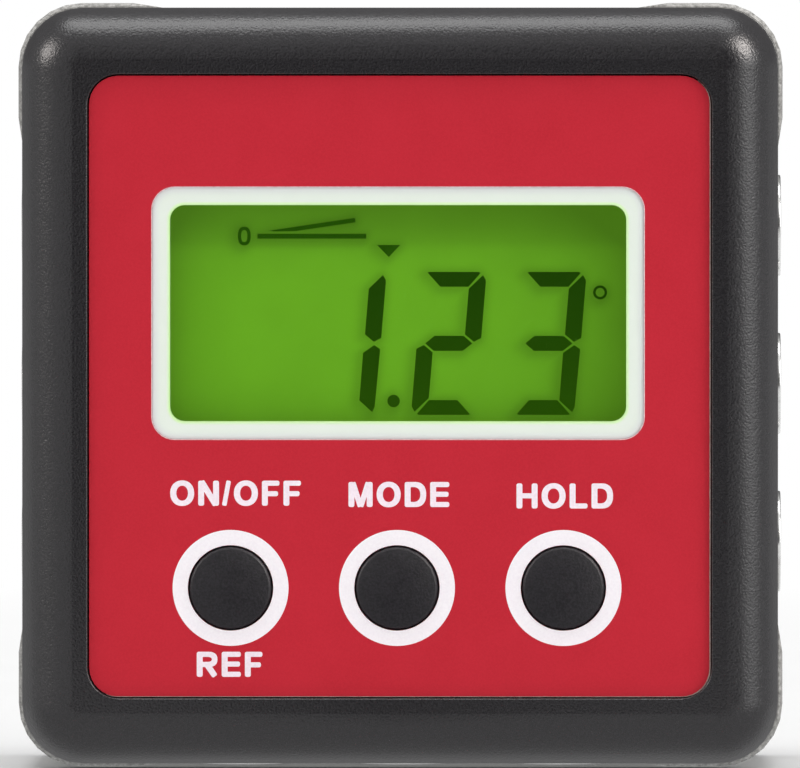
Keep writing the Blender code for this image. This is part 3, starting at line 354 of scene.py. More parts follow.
def display_ink():
    """A switched liquid crystal segment: nearly black green, a little lighter low down"""
    look = Look("display_segment_dark", (0.002, 0.006, 0.001), 0.4, specular=0.0)
    _, _, z = look.axes()
    height = look.span(z, *DIGIT_REACH)
    cloud = look.span(look.noise(0.9, 2.0), 0.3, 0.7, 0.0, 0.3)
    tone = look.mix(height, (0.0185, 0.074, 0.0006), (0.0108, 0.051, 0.0005))
    look.set("Emission Color", look.mix(cloud, tone, (0.0150, 0.060, 0.0006)))
    look.set("Emission Strength", 0.85)
    look.bump(look.noise(3.0, 1.0), 0.001, 0.2)
    return look.material


def fine_ink():
    """The thin marks of the display let more light through than the large segments"""
    look = Look("display_line_dark", (0.002, 0.006, 0.001), 0.4, specular=0.0)
    cloud = look.span(look.noise(1.2, 2.0), 0.3, 0.7)
    look.set("Emission Color", look.mix(cloud, (0.0135, 0.068, 0.0003), (0.0170, 0.078, 0.0005)))
    look.set("Emission Strength", 0.9)
    return look.material


def print_white(name, thin, thick):
    """White ink, printed over the red and a little uneven"""
    look = Look(name, thick, 0.45, specular=0.2)
    cover = look.noise(5.0, 3.0, 0.6)
    look.colour(look.mix(look.span(cover, 0.25, 0.75), thin, thick))
    look.bump(cover, 0.004, 0.5)
    return look.material


def print_rim_highlight():
    """A painted highlight: a pale pink strip round the window, where the cut edge of the clear film catches
    the light
    """
    look = Look("label_edge_painted_highlight", (0.80, 0.62, 0.65), 0.3, specular=0.4)
    cover = look.noise(3.0, 3.0, 0.6)
    look.colour(look.mix(look.span(cover, 0.3, 0.7), (0.66, 0.45, 0.48), (0.88, 0.72, 0.75)))
    return look.material


def print_edge_highlight():
    """A painted highlight: a pale warm strip along the label's edge, where the edge of the recess catches
    the light
    """
    # Painted highlight: the strip's pale warm grey colour
    look = Look("label_edge_strip_highlight", (0.36, 0.27, 0.24), 0.35, specular=0.4)
    cover = look.noise(2.0, 3.0, 0.6)
    look.colour(look.mix(look.span(cover, 0.3, 0.7), (0.30, 0.20, 0.18), (0.44, 0.36, 0.32)))
    return look.material


def display_glass():
    """Liquid crystal glass with its faint conductor rows"""
    look = Look("liquid_crystal_glass", (0.45, 0.62, 0.40), 0.08, transmission=0.6, ior=1.5)
    rows = look.waves(1.6)
    look.colour(look.mix(look.span(rows, 0.45, 0.55, 0.0, 0.4), (0.40, 0.58, 0.34), (0.52, 0.68, 0.46)))
    look.bump(rows, 0.001, 0.2)
    return look.material


def polarizer_film():
    look = Look("polarizer_grey_green", (0.10, 0.15, 0.08), 0.3)
    lines = look.noise(14.0, 1.0, 0.5, look.stretched(1.0, 1.0, 0.05))
    look.colour(look.mix(look.span(lines, 0.3, 0.7), (0.08, 0.12, 0.06), (0.13, 0.19, 0.10)))
    look.set("Roughness", look.span(lines, 0.3, 0.7, 0.24, 0.36))
    return look.material


def light_guide():
    """Acrylic guide with its rows of moulded dots, lit by the two lamps"""
    look = Look("guide_with_dots", (0.35, 0.65, 0.15), 0.3, glow=0.25, glow_colour=(0.3, 0.8, 0.1, 1.0))
    dots = look.span(look.cells(1.8), 0.18, 0.26, 1.0, 0.0)
    look.colour(look.mix(dots, (0.30, 0.58, 0.14), (0.75, 0.95, 0.60)))
    look.bump(dots, 0.03, 0.6)
    return look.material


def lamp_package():
    """White lamp package with a yellow phosphor patch"""
    look = Look("lamp_phosphor", (0.85, 0.84, 0.78), 0.4, glow=0.3, glow_colour=(0.8, 1.0, 0.4, 1.0))
    grain = look.noise(6.0, 2.0)
    look.colour(look.mix(look.span(grain, 0.4, 0.6), (0.86, 0.85, 0.80), (0.85, 0.75, 0.25)))
    return look.material


def elastomer():
    """Zebra strip: conducting black layers between pink insulating ones"""
    look = Look("zebra_elastomer", (0.30, 0.12, 0.12), 0.7)
    bands = look.span(look.waves(2.2), 0.45, 0.55)
    look.colour(look.mix(bands, (0.55, 0.22, 0.24), (0.03, 0.025, 0.025)))
    look.bump(bands, 0.01, 0.4)
    return look.material


def circuit_board():
    """Green solder mask over fine tracks"""
    look = Look("board_solder_mask", (0.02, 0.14, 0.05), 0.4)
    tracks = look.node("ShaderNodeTexBrick", {"Vector": look.millimetres(), "Scale": 0.9,
                                             "Mortar Size": 0.03})
    grain = look.noise(6.0, 2.0)
    base = look.mix(tracks.outputs["Fac"], (0.015, 0.12, 0.045), (0.05, 0.24, 0.09))
    look.colour(look.mix(look.span(grain, 0.3, 0.7, 0.0, 0.3), base, (0.02, 0.10, 0.04)))
    look.bump(tracks.outputs["Fac"], 0.03, 0.5)
    return look.material


def chip_black():
    """Moulding compound with a matte, faintly speckled face"""
    look = Look("moulding_compound", (0.02, 0.02, 0.02), 0.55)
    grain = look.noise(10.0, 3.0, 0.7)
    look.colour(look.mix(look.span(grain, 0.3, 0.7), (0.015, 0.015, 0.015), (0.04, 0.04, 0.04)))
    look.bump(grain, 0.01, 0.5)
    return look.material


def steel():
    """Zinc-plated steel with fine turning marks"""
    look = Look("plated_steel", (0.56, 0.56, 0.57), 0.3, 1.0)
    marks = look.noise(12.0, 2.0, 0.5, look.stretched(1.0, 0.2, 1.0))
    look.colour(look.mix(look.span(marks, 0.3, 0.7), (0.50, 0.50, 0.51), (0.66, 0.66, 0.67)))
    look.set("Roughness", look.span(marks, 0.3, 0.7, 0.24, 0.40))
    look.bump(marks, 0.004, 0.5)
    return look.material


def nickel_plate():
    """Spring contacts: bright nickel over strip, slightly warm"""
    look = Look("nickel_strip", (0.66, 0.63, 0.58), 0.22, 1.0)
    marks = look.noise(10.0, 2.0, 0.5, look.stretched(0.1, 1.0, 1.0))
    look.colour(look.mix(look.span(marks, 0.3, 0.7), (0.60, 0.57, 0.52), (0.74, 0.71, 0.66)))
    look.set("Roughness", look.span(marks, 0.3, 0.7, 0.18, 0.30))
    return look.material


def magnet_nickel():
    """Plated magnets: bright, with a soft orange-peel ripple and a few rubbed spots"""
    look = Look("magnet_plating", (0.72, 0.72, 0.71), 0.2, 1.0)
    peel = look.noise(2.2, 2.0)
    rubbed = look.span(look.noise(0.7, 4.0, 0.7), 0.5, 0.75)
    look.colour(look.mix(rubbed, (0.76, 0.76, 0.75), (0.60, 0.59, 0.58)))
    look.set("Roughness", look.span(rubbed, 0.0, 1.0, 0.16, 0.38))
    look.bump(peel, 0.006, 0.5)
    return look.material


def cell_sleeve(name, plus_side):
    """A shrink sleeve in two colours, the copper one at the plus end, and plain steel on both ends"""
    look = Look(name, (0.03, 0.04, 0.06), 0.3, coat=0.5, coat_rough=0.1)
    x, y, z = look.axes()
    along = look.maths("MULTIPLY", x, plus_side)
    band = look.span(along, 12.4, 12.5)
    wear = look.noise(1.5, 3.0)
    dark = look.mix(look.span(wear, 0.3, 0.7), (0.020, 0.024, 0.034), (0.035, 0.040, 0.052))
    copper = look.mix(look.span(wear, 0.3, 0.7), (0.60, 0.27, 0.10), (0.68, 0.33, 0.14))
    sleeve = look.mix(band, dark, copper)
    low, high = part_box("battery_upper" if plus_side > 0 else "battery_lower")
    radius = (high.z - low.z) / 2 / MM
    across = look.maths("SUBTRACT", z, (high.z + low.z) / 2 / MM)
    deep = look.maths("SUBTRACT", y, (high.y + low.y) / 2 / MM)
    squares = look.maths("ADD", look.maths("MULTIPLY", across, across), look.maths("MULTIPLY", deep, deep))
    bare = look.span(squares, (radius - 0.35) ** 2, (radius - 0.25) ** 2, 1.0, 0.0)
    look.colour(look.mix(bare, sleeve, (0.62, 0.61, 0.60)))
    look.set("Metallic", look.maths("MAXIMUM", bare, look.maths("MULTIPLY", band, 0.7)))
    look.bump(look.noise(2.5, 2.0), 0.006, 0.4)
    return look.material


JOIN_DISTANCE = 0.001 * MM
SHARP_ANGLE = math.radians(32)
ROUNDED_ANGLE = math.radians(40)


def join_and_smooth():
    """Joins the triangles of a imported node, smooths its curved faces and keeps its edges sharp"""
    group = bpy.data.node_groups.new("join_and_smooth", "GeometryNodeTree")
    group.interface.new_socket("Geometry", in_out="INPUT", socket_type="NodeSocketGeometry")
    group.interface.new_socket("Geometry", in_out="OUTPUT", socket_type="NodeSocketGeometry")
    names = ("NodeGroupInput", "GeometryNodeRemoveAttribute", "GeometryNodeMergeByDistance",
             "GeometryNodeSetShadeSmooth", "GeometryNodeSetShadeSmooth", "NodeGroupOutput")
    chain = [group.nodes.new(name) for name in names]
    for first, second in zip(chain, chain[1:]):
        group.links.new(first.outputs[0], second.inputs[0])
    _, bare, joined, smooth, sharp, _ = chain
    bare.inputs["Name"].default_value = "custom_normal"
    joined.inputs["Distance"].default_value = JOIN_DISTANCE
    smooth.inputs["Shade Smooth"].default_value = True
    sharp.domain = "EDGE"
    sharp.inputs["Shade Smooth"].default_value = False
    angle = group.nodes.new("GeometryNodeInputMeshEdgeAngle")
    steep = group.nodes.new("FunctionNodeCompare")
    steep.operation = "GREATER_THAN"
    steep.inputs["B"].default_value = SHARP_ANGLE
    group.links.new(angle.outputs["Unsigned Angle"], steep.inputs["A"])
    group.links.new(steep.outputs["Result"], sharp.inputs["Selection"])
    return group


def soften(node, group, width):
    """Smooth shading and a small rounded edge for a CAD node, by modifiers alone"""
    join = node.modifiers.new("join", "NODES")
    join.node_group = group
    if width:
        edge = node.modifiers.new("edge", "BEVEL")
        edge.width = width * MM
        edge.segments = 2
        edge.limit_method = "ANGLE"
        edge.angle_limit = ROUNDED_ANGLE
        edge.use_clamp_overlap = False
        edge.loop_slide = False
        edge.harden_normals = True
    even = node.modifiers.new("even_shading", "WEIGHTED_NORMAL")
    even.keep_sharp = True


def dress(node, material):
    for place in node.material_slots:
        place.material = material


def link(name, data):
    """A new object in the scene, at the origin"""
    made = bpy.data.objects.new(name, data)
    bpy.context.scene.collection.objects.link(made)
    return made


def circle(centre, radius, steps=64):
    return oval(centre, radius, radius, steps)


def oval(centre, half_width, half_height, steps=48, power=2.0):
    """An ellipse, or a squarer oval where the power is above 2"""
    points = []
    for index in range(steps):
        angle = 2 * math.pi * index / steps
        across, up = math.cos(angle), math.sin(angle)
        x = math.copysign(abs(across) ** (2 / power), across) * half_width
        z = math.copysign(abs(up) ** (2 / power), up) * half_height
        points.append((centre[0] + x, centre[1] + z))
    return points


def rounded_box(centre, half, corner, steps=8):
    points = []
    for quarter, (sx, sz) in enumerate(((1, 1), (-1, 1), (-1, -1), (1, -1))):
        x = centre[0] + sx * (half[0] - corner)
        z = centre[1] + sz * (half[1] - corner)
        for step in range(steps + 1):
            angle = math.radians(90 * (quarter + step / steps))
            points.append((x + corner * math.cos(angle), z + corner * math.sin(angle)))
    return points


def stroke(start, end, width, corner):
    """A straight stroke between two points, its corners slightly rounded"""
    start, end = Vector(start), Vector(end)
    along = (end - start).normalized()
    across = Vector((-along.y, along.x))
    half = (end - start).length / 2
    middle = (start + end) / 2
    box = rounded_box((0, 0), (half, width / 2), corner, 4)
    return [tuple(middle + along * a + across * b) for a, b in box]


def bowl(left, right, bottom, top, straight, corner):
    """The outline of a D: straight on the left, round on the right"""
    centre_z = (bottom + top) / 2
    half = (top - bottom) / 2
    reach = right - straight
    points = []
    for step in range(25):
        angle = math.radians(-90 + 180 * step / 24)
        up = math.sin(angle)
        points.append((straight + reach * max(math.cos(angle), 0.0) ** 0.85,
                       centre_z + half * math.copysign(abs(up) ** 0.85, up)))
    for quarter, z in ((1, top - corner), (2, bottom + corner)):
        for step in range(5):
            angle = math.radians(90 * (quarter + step / 4))
            points.append((left + corner + corner * math.cos(angle), z + corner * math.sin(angle)))
    return points


# Letters: height, stroke widths, corner rounding and the gaps between them, in millimetres
CAP = 1.96
STEM = 0.465
BAR = 0.40
NIB = 0.15
LETTER_GAP = 0.31
SLASH_GAP = -0.10


def upright(x, top=CAP):
    return stroke((x + STEM / 2, 0.0), (x + STEM / 2, top), STEM, NIB)


def level(x0, x1, low, height=BAR):
    return stroke((x0, low + height / 2), (x1, low + height / 2), height, NIB)


def letter(name):
    """(width, solid outlines, holes) of one capital, its left foot at the origin; R is the last"""
    if name == "O":
        width = 1.88
        middle = (width / 2, CAP / 2)
        outer = oval(middle, width / 2, CAP / 2 + 0.02, 48, 2.15)
        return width, [outer], [oval(middle, 0.455, 0.585, 40, 2.1)]
    if name == "N":
        width = 1.63
        return width, [upright(0.0), upright(width - STEM),
                       stroke((0.24, CAP - 0.05), (width - 0.24, 0.05), 0.47, 0.1)], []
    if name == "/":
        width = 0.74
        return width, [stroke((0.19, 0.0), (width - 0.19, CAP), 0.36, 0.1)], []
    if name == "F":
        width = 1.37
        return width, [upright(0.0), level(0.0, width, CAP - BAR), level(0.1, width - 0.11, 0.74)], []
    if name == "M":
        width = 1.89
        solids = [upright(0.0), upright(width - STEM)]
        for top in (0.33, width - 0.33):
            solids.append(stroke((top, CAP - 0.03), (width / 2, 0.02), 0.43, 0.1))
        return width, solids, []
    if name == "D":
        width = 1.68
        outer = bowl(0.0, width, 0.0, CAP, 0.82, NIB)
        return width, [outer], [bowl(STEM, width - 0.46, BAR, CAP - BAR, 0.68, 0.08)]
    if name == "E":
        width = 1.50
        return width, [upright(0.0), level(0.0, width, CAP - BAR), level(0.1, width - 0.06, 0.80),
                       level(0.0, width, 0.0)], []
    if name == "H":
        width = 1.65
        return width, [upright(0.0), upright(width - STEM), level(0.1, width - 0.1, 0.79)], []
    if name == "L":
        width = 1.40
        return width, [upright(0.0), level(0.0, width, 0.0)], []
    width = 1.64
    low = CAP - 1.19
    leg = stroke((0.78, low + 0.22), (width - 0.20, 0.04), 0.46, 0.12)
    hole = bowl(STEM, width - 0.46, low + BAR, CAP - BAR, 0.82, 0.06)
    return width, [upright(0.0), bowl(0.0, width - 0.02, low, CAP, 0.95, NIB), leg], [hole]


def shifted(outline, dx, dz):
    return [(x + dx, z + dz) for x, z in outline]


def anticlockwise(outline):
    area = sum(a[0] * b[1] - b[0] * a[1] for a, b in zip(outline, outline[1:] + outline[:1]))
    return outline if area > 0 else outline[::-1]


def flat_mesh(name, groups, front, back):
    """A thin slab of flat shapes; each group is (solid outlines, holes) and its overlaps are merged"""
    mesh = bmesh.new()
    for solids, holes in groups:
        outlines = [anticlockwise(outline) for outline in list(solids) + list(holes)]
        points, loops = [], []
        for outline in outlines:
            loops.append(list(range(len(points), len(points) + len(outline))))
            points += [Vector(point) for point in outline]
        flat, _, triangles, _, _, origins = delaunay_2d_cdt(points, [], loops, 1, 1e-5, True)
        kept = [t for t, origin in zip(triangles, origins) if origin and max(origin) < len(solids)]
        used = sorted({index for triangle in kept for index in triangle})
        sides = [{index: mesh.verts.new((flat[index].x * MM, y, flat[index].y * MM)) for index in used}
                 for y in (front, back)]
        edges = {(a, b) for t in kept for a, b in zip(t, t[1:] + t[:1])}
        for triangle in kept:
            mesh.faces.new([sides[0][index] for index in triangle])
            mesh.faces.new([sides[1][index] for index in reversed(triangle)])
        for a, b in sorted(edges):
            if (b, a) not in edges:
                mesh.faces.new([sides[0][b], sides[0][a], sides[1][a], sides[1][b]])
    bmesh.ops.recalc_face_normals(mesh, faces=mesh.faces)
    data = bpy.data.meshes.new(name)
    mesh.to_mesh(data)
    mesh.free()
    return data


def add_piece(name, data, material, body=HOUSING):
    piece = link(name, data)
    data.materials.append(material)
    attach(piece, body)
    return piece


PRINT_DEPTH = 0.012 * MM
PRINT_FRONT = LABEL_FRONT - PRINT_DEPTH


def add_print(name, groups, material):
    return add_piece(name, flat_mesh(name, groups, PRINT_FRONT, LABEL_FRONT), material)


def shifted_group(group, dx, dz):
    return tuple([shifted(outline, dx, dz) for outline in outlines] for outlines in group)


def word(text, centre_x, baseline):
    """One group of outlines for each letter, the word centred on centre_x"""
    groups = []
    x = 0.0
    for index, name in enumerate(text):
        width, solids, holes = letter(name)
        near_slash = name == "/" or (index and text[index - 1] == "/")
        if index:
            x += LETTER_GAP + (SLASH_GAP if near_slash else 0.0)
        groups.append(shifted_group((solids, holes), x, 0.0))
        x += width
    return [shifted_group(group, centre_x - x / 2, baseline) for group in groups]


RING_RADIUS = 4.53
# Width of the painted highlight round the label's window, in millimetres
WINDOW_HIGHLIGHT_WIDTH = 0.07
# Offsets, from the middle of the recess, of the outer and inner outlines of the painted highlight along the
# label's edge
HIGHLIGHT_OUTER_SHIFT = (0.04, -0.02)
HIGHLIGHT_INNER_SHIFT = (-0.05, 0.03)
# Piece, text, middle of the word and its baseline
WORDS = (("word_on_off", "ON/OFF", -12.81, 20.67), ("word_mode", "MODE", -0.05, 20.57),
         ("word_hold", "HOLD", 12.90, 20.46), ("word_ref", "REF", -13.28, 7.30))


def make_label_edge_highlight(film):
    """A painted highlight along the label's right and lower edges, where the recess's edge catches the
    light: its inner outline lies a hair to the left of its outer one
    """
    low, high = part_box("face_label")
    half = ((high.x - low.x) / 2 / MM, (high.z - low.z) / 2 / MM)
    label = rounded_box(middle_mm("face_label"), half, LABEL_CORNER)
    edge = ([shifted(label, *HIGHLIGHT_OUTER_SHIFT)], [shifted(label, *HIGHLIGHT_INNER_SHIFT)])
    add_print("label_edge_painted_highlight", [edge], film)


def make_label_prints(rings, words, rim):
    for key in ("on_off", "mode", "hold"):
        centre = middle_mm(f"key_{key}")
        ring = ([circle(centre, RING_RADIUS, 96)], [circle(centre, KEY_HOLE_RADIUS, 96)])
        add_print(f"ring_{key}", [ring], rings)
    for name, text, x, baseline in WORDS:
        add_print(name, word(text, x, baseline), words)
    centre = (VIEW_X, VIEW_Z)
    # A painted highlight: a pale strip round the window stands in for the film's cut edge catching the light
    outer_half = [half + WINDOW_HIGHLIGHT_WIDTH for half in WINDOW_HALF]
    outer = rounded_box(centre, outer_half, WINDOW_CORNER + WINDOW_HIGHLIGHT_WIDTH)
    hole = rounded_box(centre, WINDOW_HALF, WINDOW_CORNER)
    add_print("window_edge_painted_highlight", [([outer], [hole])], rim)


# One digit's segments about its middle; the lower ones are the upper ones turned half round
SEGMENT_TOP = [(-1.597, 5.53), (-1.52, 5.56), (2.36, 5.56), (2.442, 5.50), (1.534, 4.469),
               (-0.65, 4.469)]
SEGMENT_RIGHT = [(2.669, 5.291), (2.872, 4.923), (2.504, 0.446), (1.964, 0.164), (1.299, 0.72),
                 (1.597, 4.265)]
SEGMENT_LOW_RIGHT = [(1.988, -0.18), (2.418, -0.47), (1.988, -4.954), (1.816, -5.322), (0.861, -4.453),
                     (1.15, -0.759)]
SEGMENT_MIDDLE = [(-1.79, 0.0), (-1.10, 0.56), (1.14, 0.56), (1.79, 0.0), (1.08, -0.55), (-1.16, -0.55)]
DIGITS = (("display_digit_one", -3.999, "bc"), ("display_digit_two", 3.827, "abged"),
          ("display_digit_three", 11.652, "abgcd"))
DIGIT_Z = 33.32
INK_SPREAD = 0.035
POINT_PLACE = (-0.493, 28.81)
POINT_RADIUS = 0.49
DEGREE_PLACE = (15.666, 37.31)
DEGREE_RADIUS = 0.55
DEGREE_WIDTH = 0.20
ZERO_PLACE = (-12.18, 41.72)


def grown(outline, by):
    """A convex outline with every edge moved out"""
    corners = [Vector(point) for point in anticlockwise(outline)]
    made = []
    for before, corner, after in zip(corners[-1:] + corners[:-1], corners, corners[1:] + corners[:1]):
        first = (corner - before).normalized()
        second = (after - corner).normalized()
        outward = Vector((first.y + second.y, -first.x - second.x)).normalized()
        reach = min(by / max(outward.dot(Vector((first.y, -first.x))), 0.2), 2 * by)
        made.append(tuple(corner + outward * reach))
    return made


def half_turn(outline):
    return [(-x, -z) for x, z in outline]


SEGMENTS = {"a": SEGMENT_TOP, "b": SEGMENT_RIGHT, "c": SEGMENT_LOW_RIGHT, "g": SEGMENT_MIDDLE,
            "d": half_turn(SEGMENT_TOP), "e": half_turn(SEGMENT_RIGHT), "f": half_turn(SEGMENT_LOW_RIGHT)}
BASE_LINE = [(-11.153, 41.903), (-2.637, 41.903), (-2.637, 41.512), (-11.153, 41.512)]
SLOPE_LINE = [(-10.26, 42.146), (-3.514, 43.148), (-3.467, 42.795), (-8.186, 42.099), (-9.845, 42.075)]
POINTER = [(-1.792, 41.027), (0.031, 41.027), (-0.869, 40.072)]

INK_FRONT = POLARIZER_FRONT - 0.05 * MM
INK_BACK = POLARIZER_FRONT - 0.03 * MM
FIELD_FRONT = POLARIZER_FRONT - 0.02 * MM
FIELD_BACK = POLARIZER_FRONT
FIELD_MARGIN = 0.7
LAND_ROOM = 0.02
LAND_BELOW_FACE = 0.12 * MM
FIELD_STEP = 0.15
# Shade that the marks throw on the field: its strength, the millimetres it reaches, and its offset
CLOSE_SHADE = (0.55, 0.42, (0.0, 0.0))
THROWN_SHADE = (0.6, 0.55, (0.35, 0.30))


def display_marks():
    """(name, groups, fine) of every mark that the display shows"""
    marks = []
    for name, x, lit in DIGITS:
        shapes = [shifted(grown(SEGMENTS[segment], INK_SPREAD), x, DIGIT_Z) for segment in lit]
        marks.append((name, [([shape], []) for shape in shapes], False))
    marks.append(("display_point", [([circle(POINT_PLACE, POINT_RADIUS, 32)], [])], False))
    degree = ([circle(DEGREE_PLACE, DEGREE_RADIUS, 40)],
              [circle(DEGREE_PLACE, DEGREE_RADIUS - DEGREE_WIDTH, 40)])
    marks.append(("display_degree_ring", [degree], False))
    zero = ([oval(ZERO_PLACE, 0.505, 0.735, 40, 2.4)], [oval(ZERO_PLACE, 0.24, 0.47, 32, 2.4)])
    marks.append(("display_zero", [zero], True))
    marks.append(("display_angle_lines", [([BASE_LINE], []), ([SLOPE_LINE], [])], True))
    marks.append(("display_pointer", [([POINTER], [])], True))
    return marks


def distance_to(points, outlines):
    """Distance in millimetres from each point to the nearest outline; zero inside one"""
    best = np.full(len(points), 1e9)
    for outline in outlines:
        corners = np.array(outline)
        inside = np.zeros(len(points), bool)
        for start, end in zip(corners, np.roll(corners, -1, axis=0)):
            along = end - start
            share = np.clip((points - start) @ along / (along @ along), 0, 1)
            gap = points - start - share[:, None] * along
            best = np.minimum(best, np.hypot(gap[:, 0], gap[:, 1]))
            crosses = (start[1] > points[:, 1]) != (end[1] > points[:, 1])
            height = end[1] - start[1] if end[1] != start[1] else 1e-12
            edge_x = start[0] + (points[:, 1] - start[1]) * along[0] / height
            inside ^= crosses & (points[:, 0] < edge_x)
        best[inside] = 0.0
    return best


def field_mesh(name, outlines):
    """A fine grid over the view, with each point's share of the shade that the dark marks throw"""
    half = [size + FIELD_MARGIN for size in VIEW_HALF]
    counts = [int(2 * size / FIELD_STEP) for size in half]
    xs = np.linspace(VIEW_X - half[0], VIEW_X + half[0], counts[0])
    zs = np.linspace(VIEW_Z - half[1], VIEW_Z + half[1], counts[1])
    mesh = bmesh.new()
    grid = [[mesh.verts.new((x * MM, FIELD_FRONT, z * MM)) for x in xs] for z in zs]
    for low, high in zip(grid, grid[1:]):
        for a, b, c, d in zip(low, low[1:], high[1:], high):
            mesh.faces.new((a, b, c, d))
    rim = [*grid[0], *[row[-1] for row in grid[1:]], *grid[-1][-2::-1], *[row[0] for row in grid[-2:0:-1]]]
    back = [mesh.verts.new((v.co.x, FIELD_BACK, v.co.z)) for v in rim]
    for index in range(len(rim)):
        after = (index + 1) % len(rim)
        mesh.faces.new((rim[after], rim[index], back[index], back[after]))
    mesh.faces.new(back[::-1])
    mesh.verts.index_update()
    data = bpy.data.meshes.new(name)
    mesh.to_mesh(data)
    mesh.free()
    places = np.zeros(len(data.vertices) * 3)
    data.vertices.foreach_get("co", places)
    points = places.reshape(-1, 3)[:, [0, 2]] / MM
    dark = np.zeros(len(points))
    for strength, reach, offset in (CLOSE_SHADE, THROWN_SHADE):
        dark += strength * np.exp(-(distance_to(points + offset, outlines) / reach) ** 2)
    shade = data.attributes.new("shade", "FLOAT", "POINT")
    shade.data.foreach_set("value", np.clip(dark, 0, 1).astype(np.float32))
    return data


def make_surround_land(white):
    """The raised land of the surround, which fills the label's window up to just below its face"""
    centre = (VIEW_X, VIEW_Z)
    outer = rounded_box(centre, [half - LAND_ROOM for half in WINDOW_HALF], WINDOW_CORNER - LAND_ROOM)
    hole = rounded_box(centre, VIEW_HALF, VIEW_CORNER)
    land = flat_mesh("surround_land", [([outer], [hole])], LABEL_FRONT + LAND_BELOW_FACE, SURROUND_FRONT)
    add_piece("surround_land", land, white)


def make_display(field, ink, thin_ink):
    marks = display_marks()
    outlines = [outline for _, groups, _ in marks for solids, _ in groups for outline in solids]
    add_piece("display_field", field_mesh("display_field", outlines), field)
    for name, groups, fine in marks:
        add_piece(name, flat_mesh(name, groups, INK_FRONT, INK_BACK), thin_ink if fine else ink)


def finish_nodes():
    """Every CAD node gets its material, smooth curved faces and softened edges"""
    charcoal, key, cast = charcoal_plastic(), key_plastic(), cast_aluminium()
    metal, contact, magnet = steel(), nickel_plate(), magnet_nickel()
    glass, film, chip, lamp = display_glass(), polarizer_film(), chip_black(), lamp_package()
    white = surround_white()
    looks = {
        "body_frame": (cast, 0.04), "front_cover": (charcoal, 0.10), "rear_cover": (charcoal, 0.12),
        "battery_door": (charcoal, 0.12), "face_label": (label_red(), 0.0),
        "display_surround": (white, 0.0), "window_lens": (lens_clear(), 0.0),
        "front_polarizer": (film, 0.0), "rear_polarizer": (film, 0.0), "front_glass": (glass, 0.0),
        "rear_glass": (glass, 0.0), "light_guide": (light_guide(), 0.05),
        "backlight_led_left": (lamp, 0.05), "backlight_led_right": (lamp, 0.05),
        "connector_strip": (elastomer(), 0.05), "main_board": (circuit_board(), 0.05),
        "controller_chip": (chip, 0.08), "tilt_sensor": (chip, 0.08),
        "battery_upper": (cell_sleeve("sleeve_upper_cell", 1.0), 0.0),
        "battery_lower": (cell_sleeve("sleeve_lower_cell", -1.0), 0.0),
        "negative_spring": (contact, 0.0), "bridge_spring": (contact, 0.0),
    }
    for name in NODES:
        if name.startswith("key_"):
            looks[name] = (key, 0.0)
        elif name.startswith("magnet_"):
            looks[name] = (magnet, 0.10)
        elif name.endswith("_contact"):
            looks[name] = (contact, 0.05)
        elif name.startswith("switch_plunger"):
            looks[name] = (chip, 0.05)
        elif "_screw_" in name or name.startswith("switch_body"):
            looks[name] = (metal, 0.05)
    group = join_and_smooth()
    for name, (material, width) in looks.items():
        dress(NODES[name], material)
        soften(NODES[name], group, width)
    make_surround_land(white)


FLOOR_HALF = 6.0
# The floor turns white to the camera between these distances from the part, in millimetres
WHITE_FROM = (120.0, 500.0)
# Its reflection is dark straight ahead of the part, within these degrees and this many millimetres
FLOOR_DARK = (10, 20)
FLOOR_NEAR = (5.0, 55.0)
SKY_LIGHT = 0.67
# What shiny surfaces see of the room: dark in front of the part, white at the sides, dim at the back.
# The dark part is narrow and tall, so its degrees are those of directions stretched by ROOM_STRETCH
ROOM_DARK = 0.03
ROOM_EDGE = (15, 36)
ROOM_BACK = (0.92, 0.12)
ROOM_STRETCH = (1.9, 1.0, 0.75)
ROOM_AXIS = (0.28, -1.0, -0.02)


def stage_material():
    """White table: lit like paper near the part, white to the camera far off, dimmed in reflections ahead"""
    look = Look("table_white", (0.80, 0.80, 0.80), 0.7, specular=0.2)
    look.colour(look.mix(look.span(look.noise(0.02, 2.0), 0.3, 0.7), (0.79, 0.79, 0.79), (0.81, 0.81, 0.81)))
    rays = look.node("ShaderNodeLightPath").outputs
    reflected = look.maths("MAXIMUM", rays["Is Glossy Ray"], rays["Is Transmission Ray"])
    x, y, _ = look.axes()
    squares = look.maths("ADD", look.maths("MULTIPLY", x, x), look.maths("MULTIPLY", y, y))
    away = look.span(look.maths("SQRT", squares), *WHITE_FROM)
    white = look.maths("MAXIMUM", reflected, look.maths("MULTIPLY", rays["Is Camera Ray"], away))
    ahead = look.maths("MAXIMUM", look.maths("SUBTRACT", -FRONT_EDGE, y), 1.0)
    sideways = look.maths("DIVIDE", look.maths("ABSOLUTE", x), ahead)
    beside = look.span(sideways, *[math.tan(math.radians(angle)) for angle in FLOOR_DARK])
    near = look.span(ahead, *FLOOR_NEAR, 1.0, 0.0)
    room = look.span(look.maths("MAXIMUM", near, beside), 0.0, 1.0, ROOM_DARK, 1.0)
    glow = look.node("ShaderNodeEmission", {"Strength": look.maths("MAXIMUM", room, rays["Is Camera Ray"])})
    blend = look.node("ShaderNodeMixShader", {0: white, 1: look.shader.outputs[0], 2: glow.outputs[0]})
    look.feed(look.tree.nodes["Material Output"].inputs["Surface"], blend.outputs[0])
    return look.material


def make_floor():
    mesh = bmesh.new()
    bmesh.ops.create_grid(mesh, x_segments=8, y_segments=8, size=FLOOR_HALF)
    data = bpy.data.meshes.new("table_top")
    mesh.to_mesh(data)
    mesh.free()
    data.materials.append(stage_material())
    link("table_top", data)


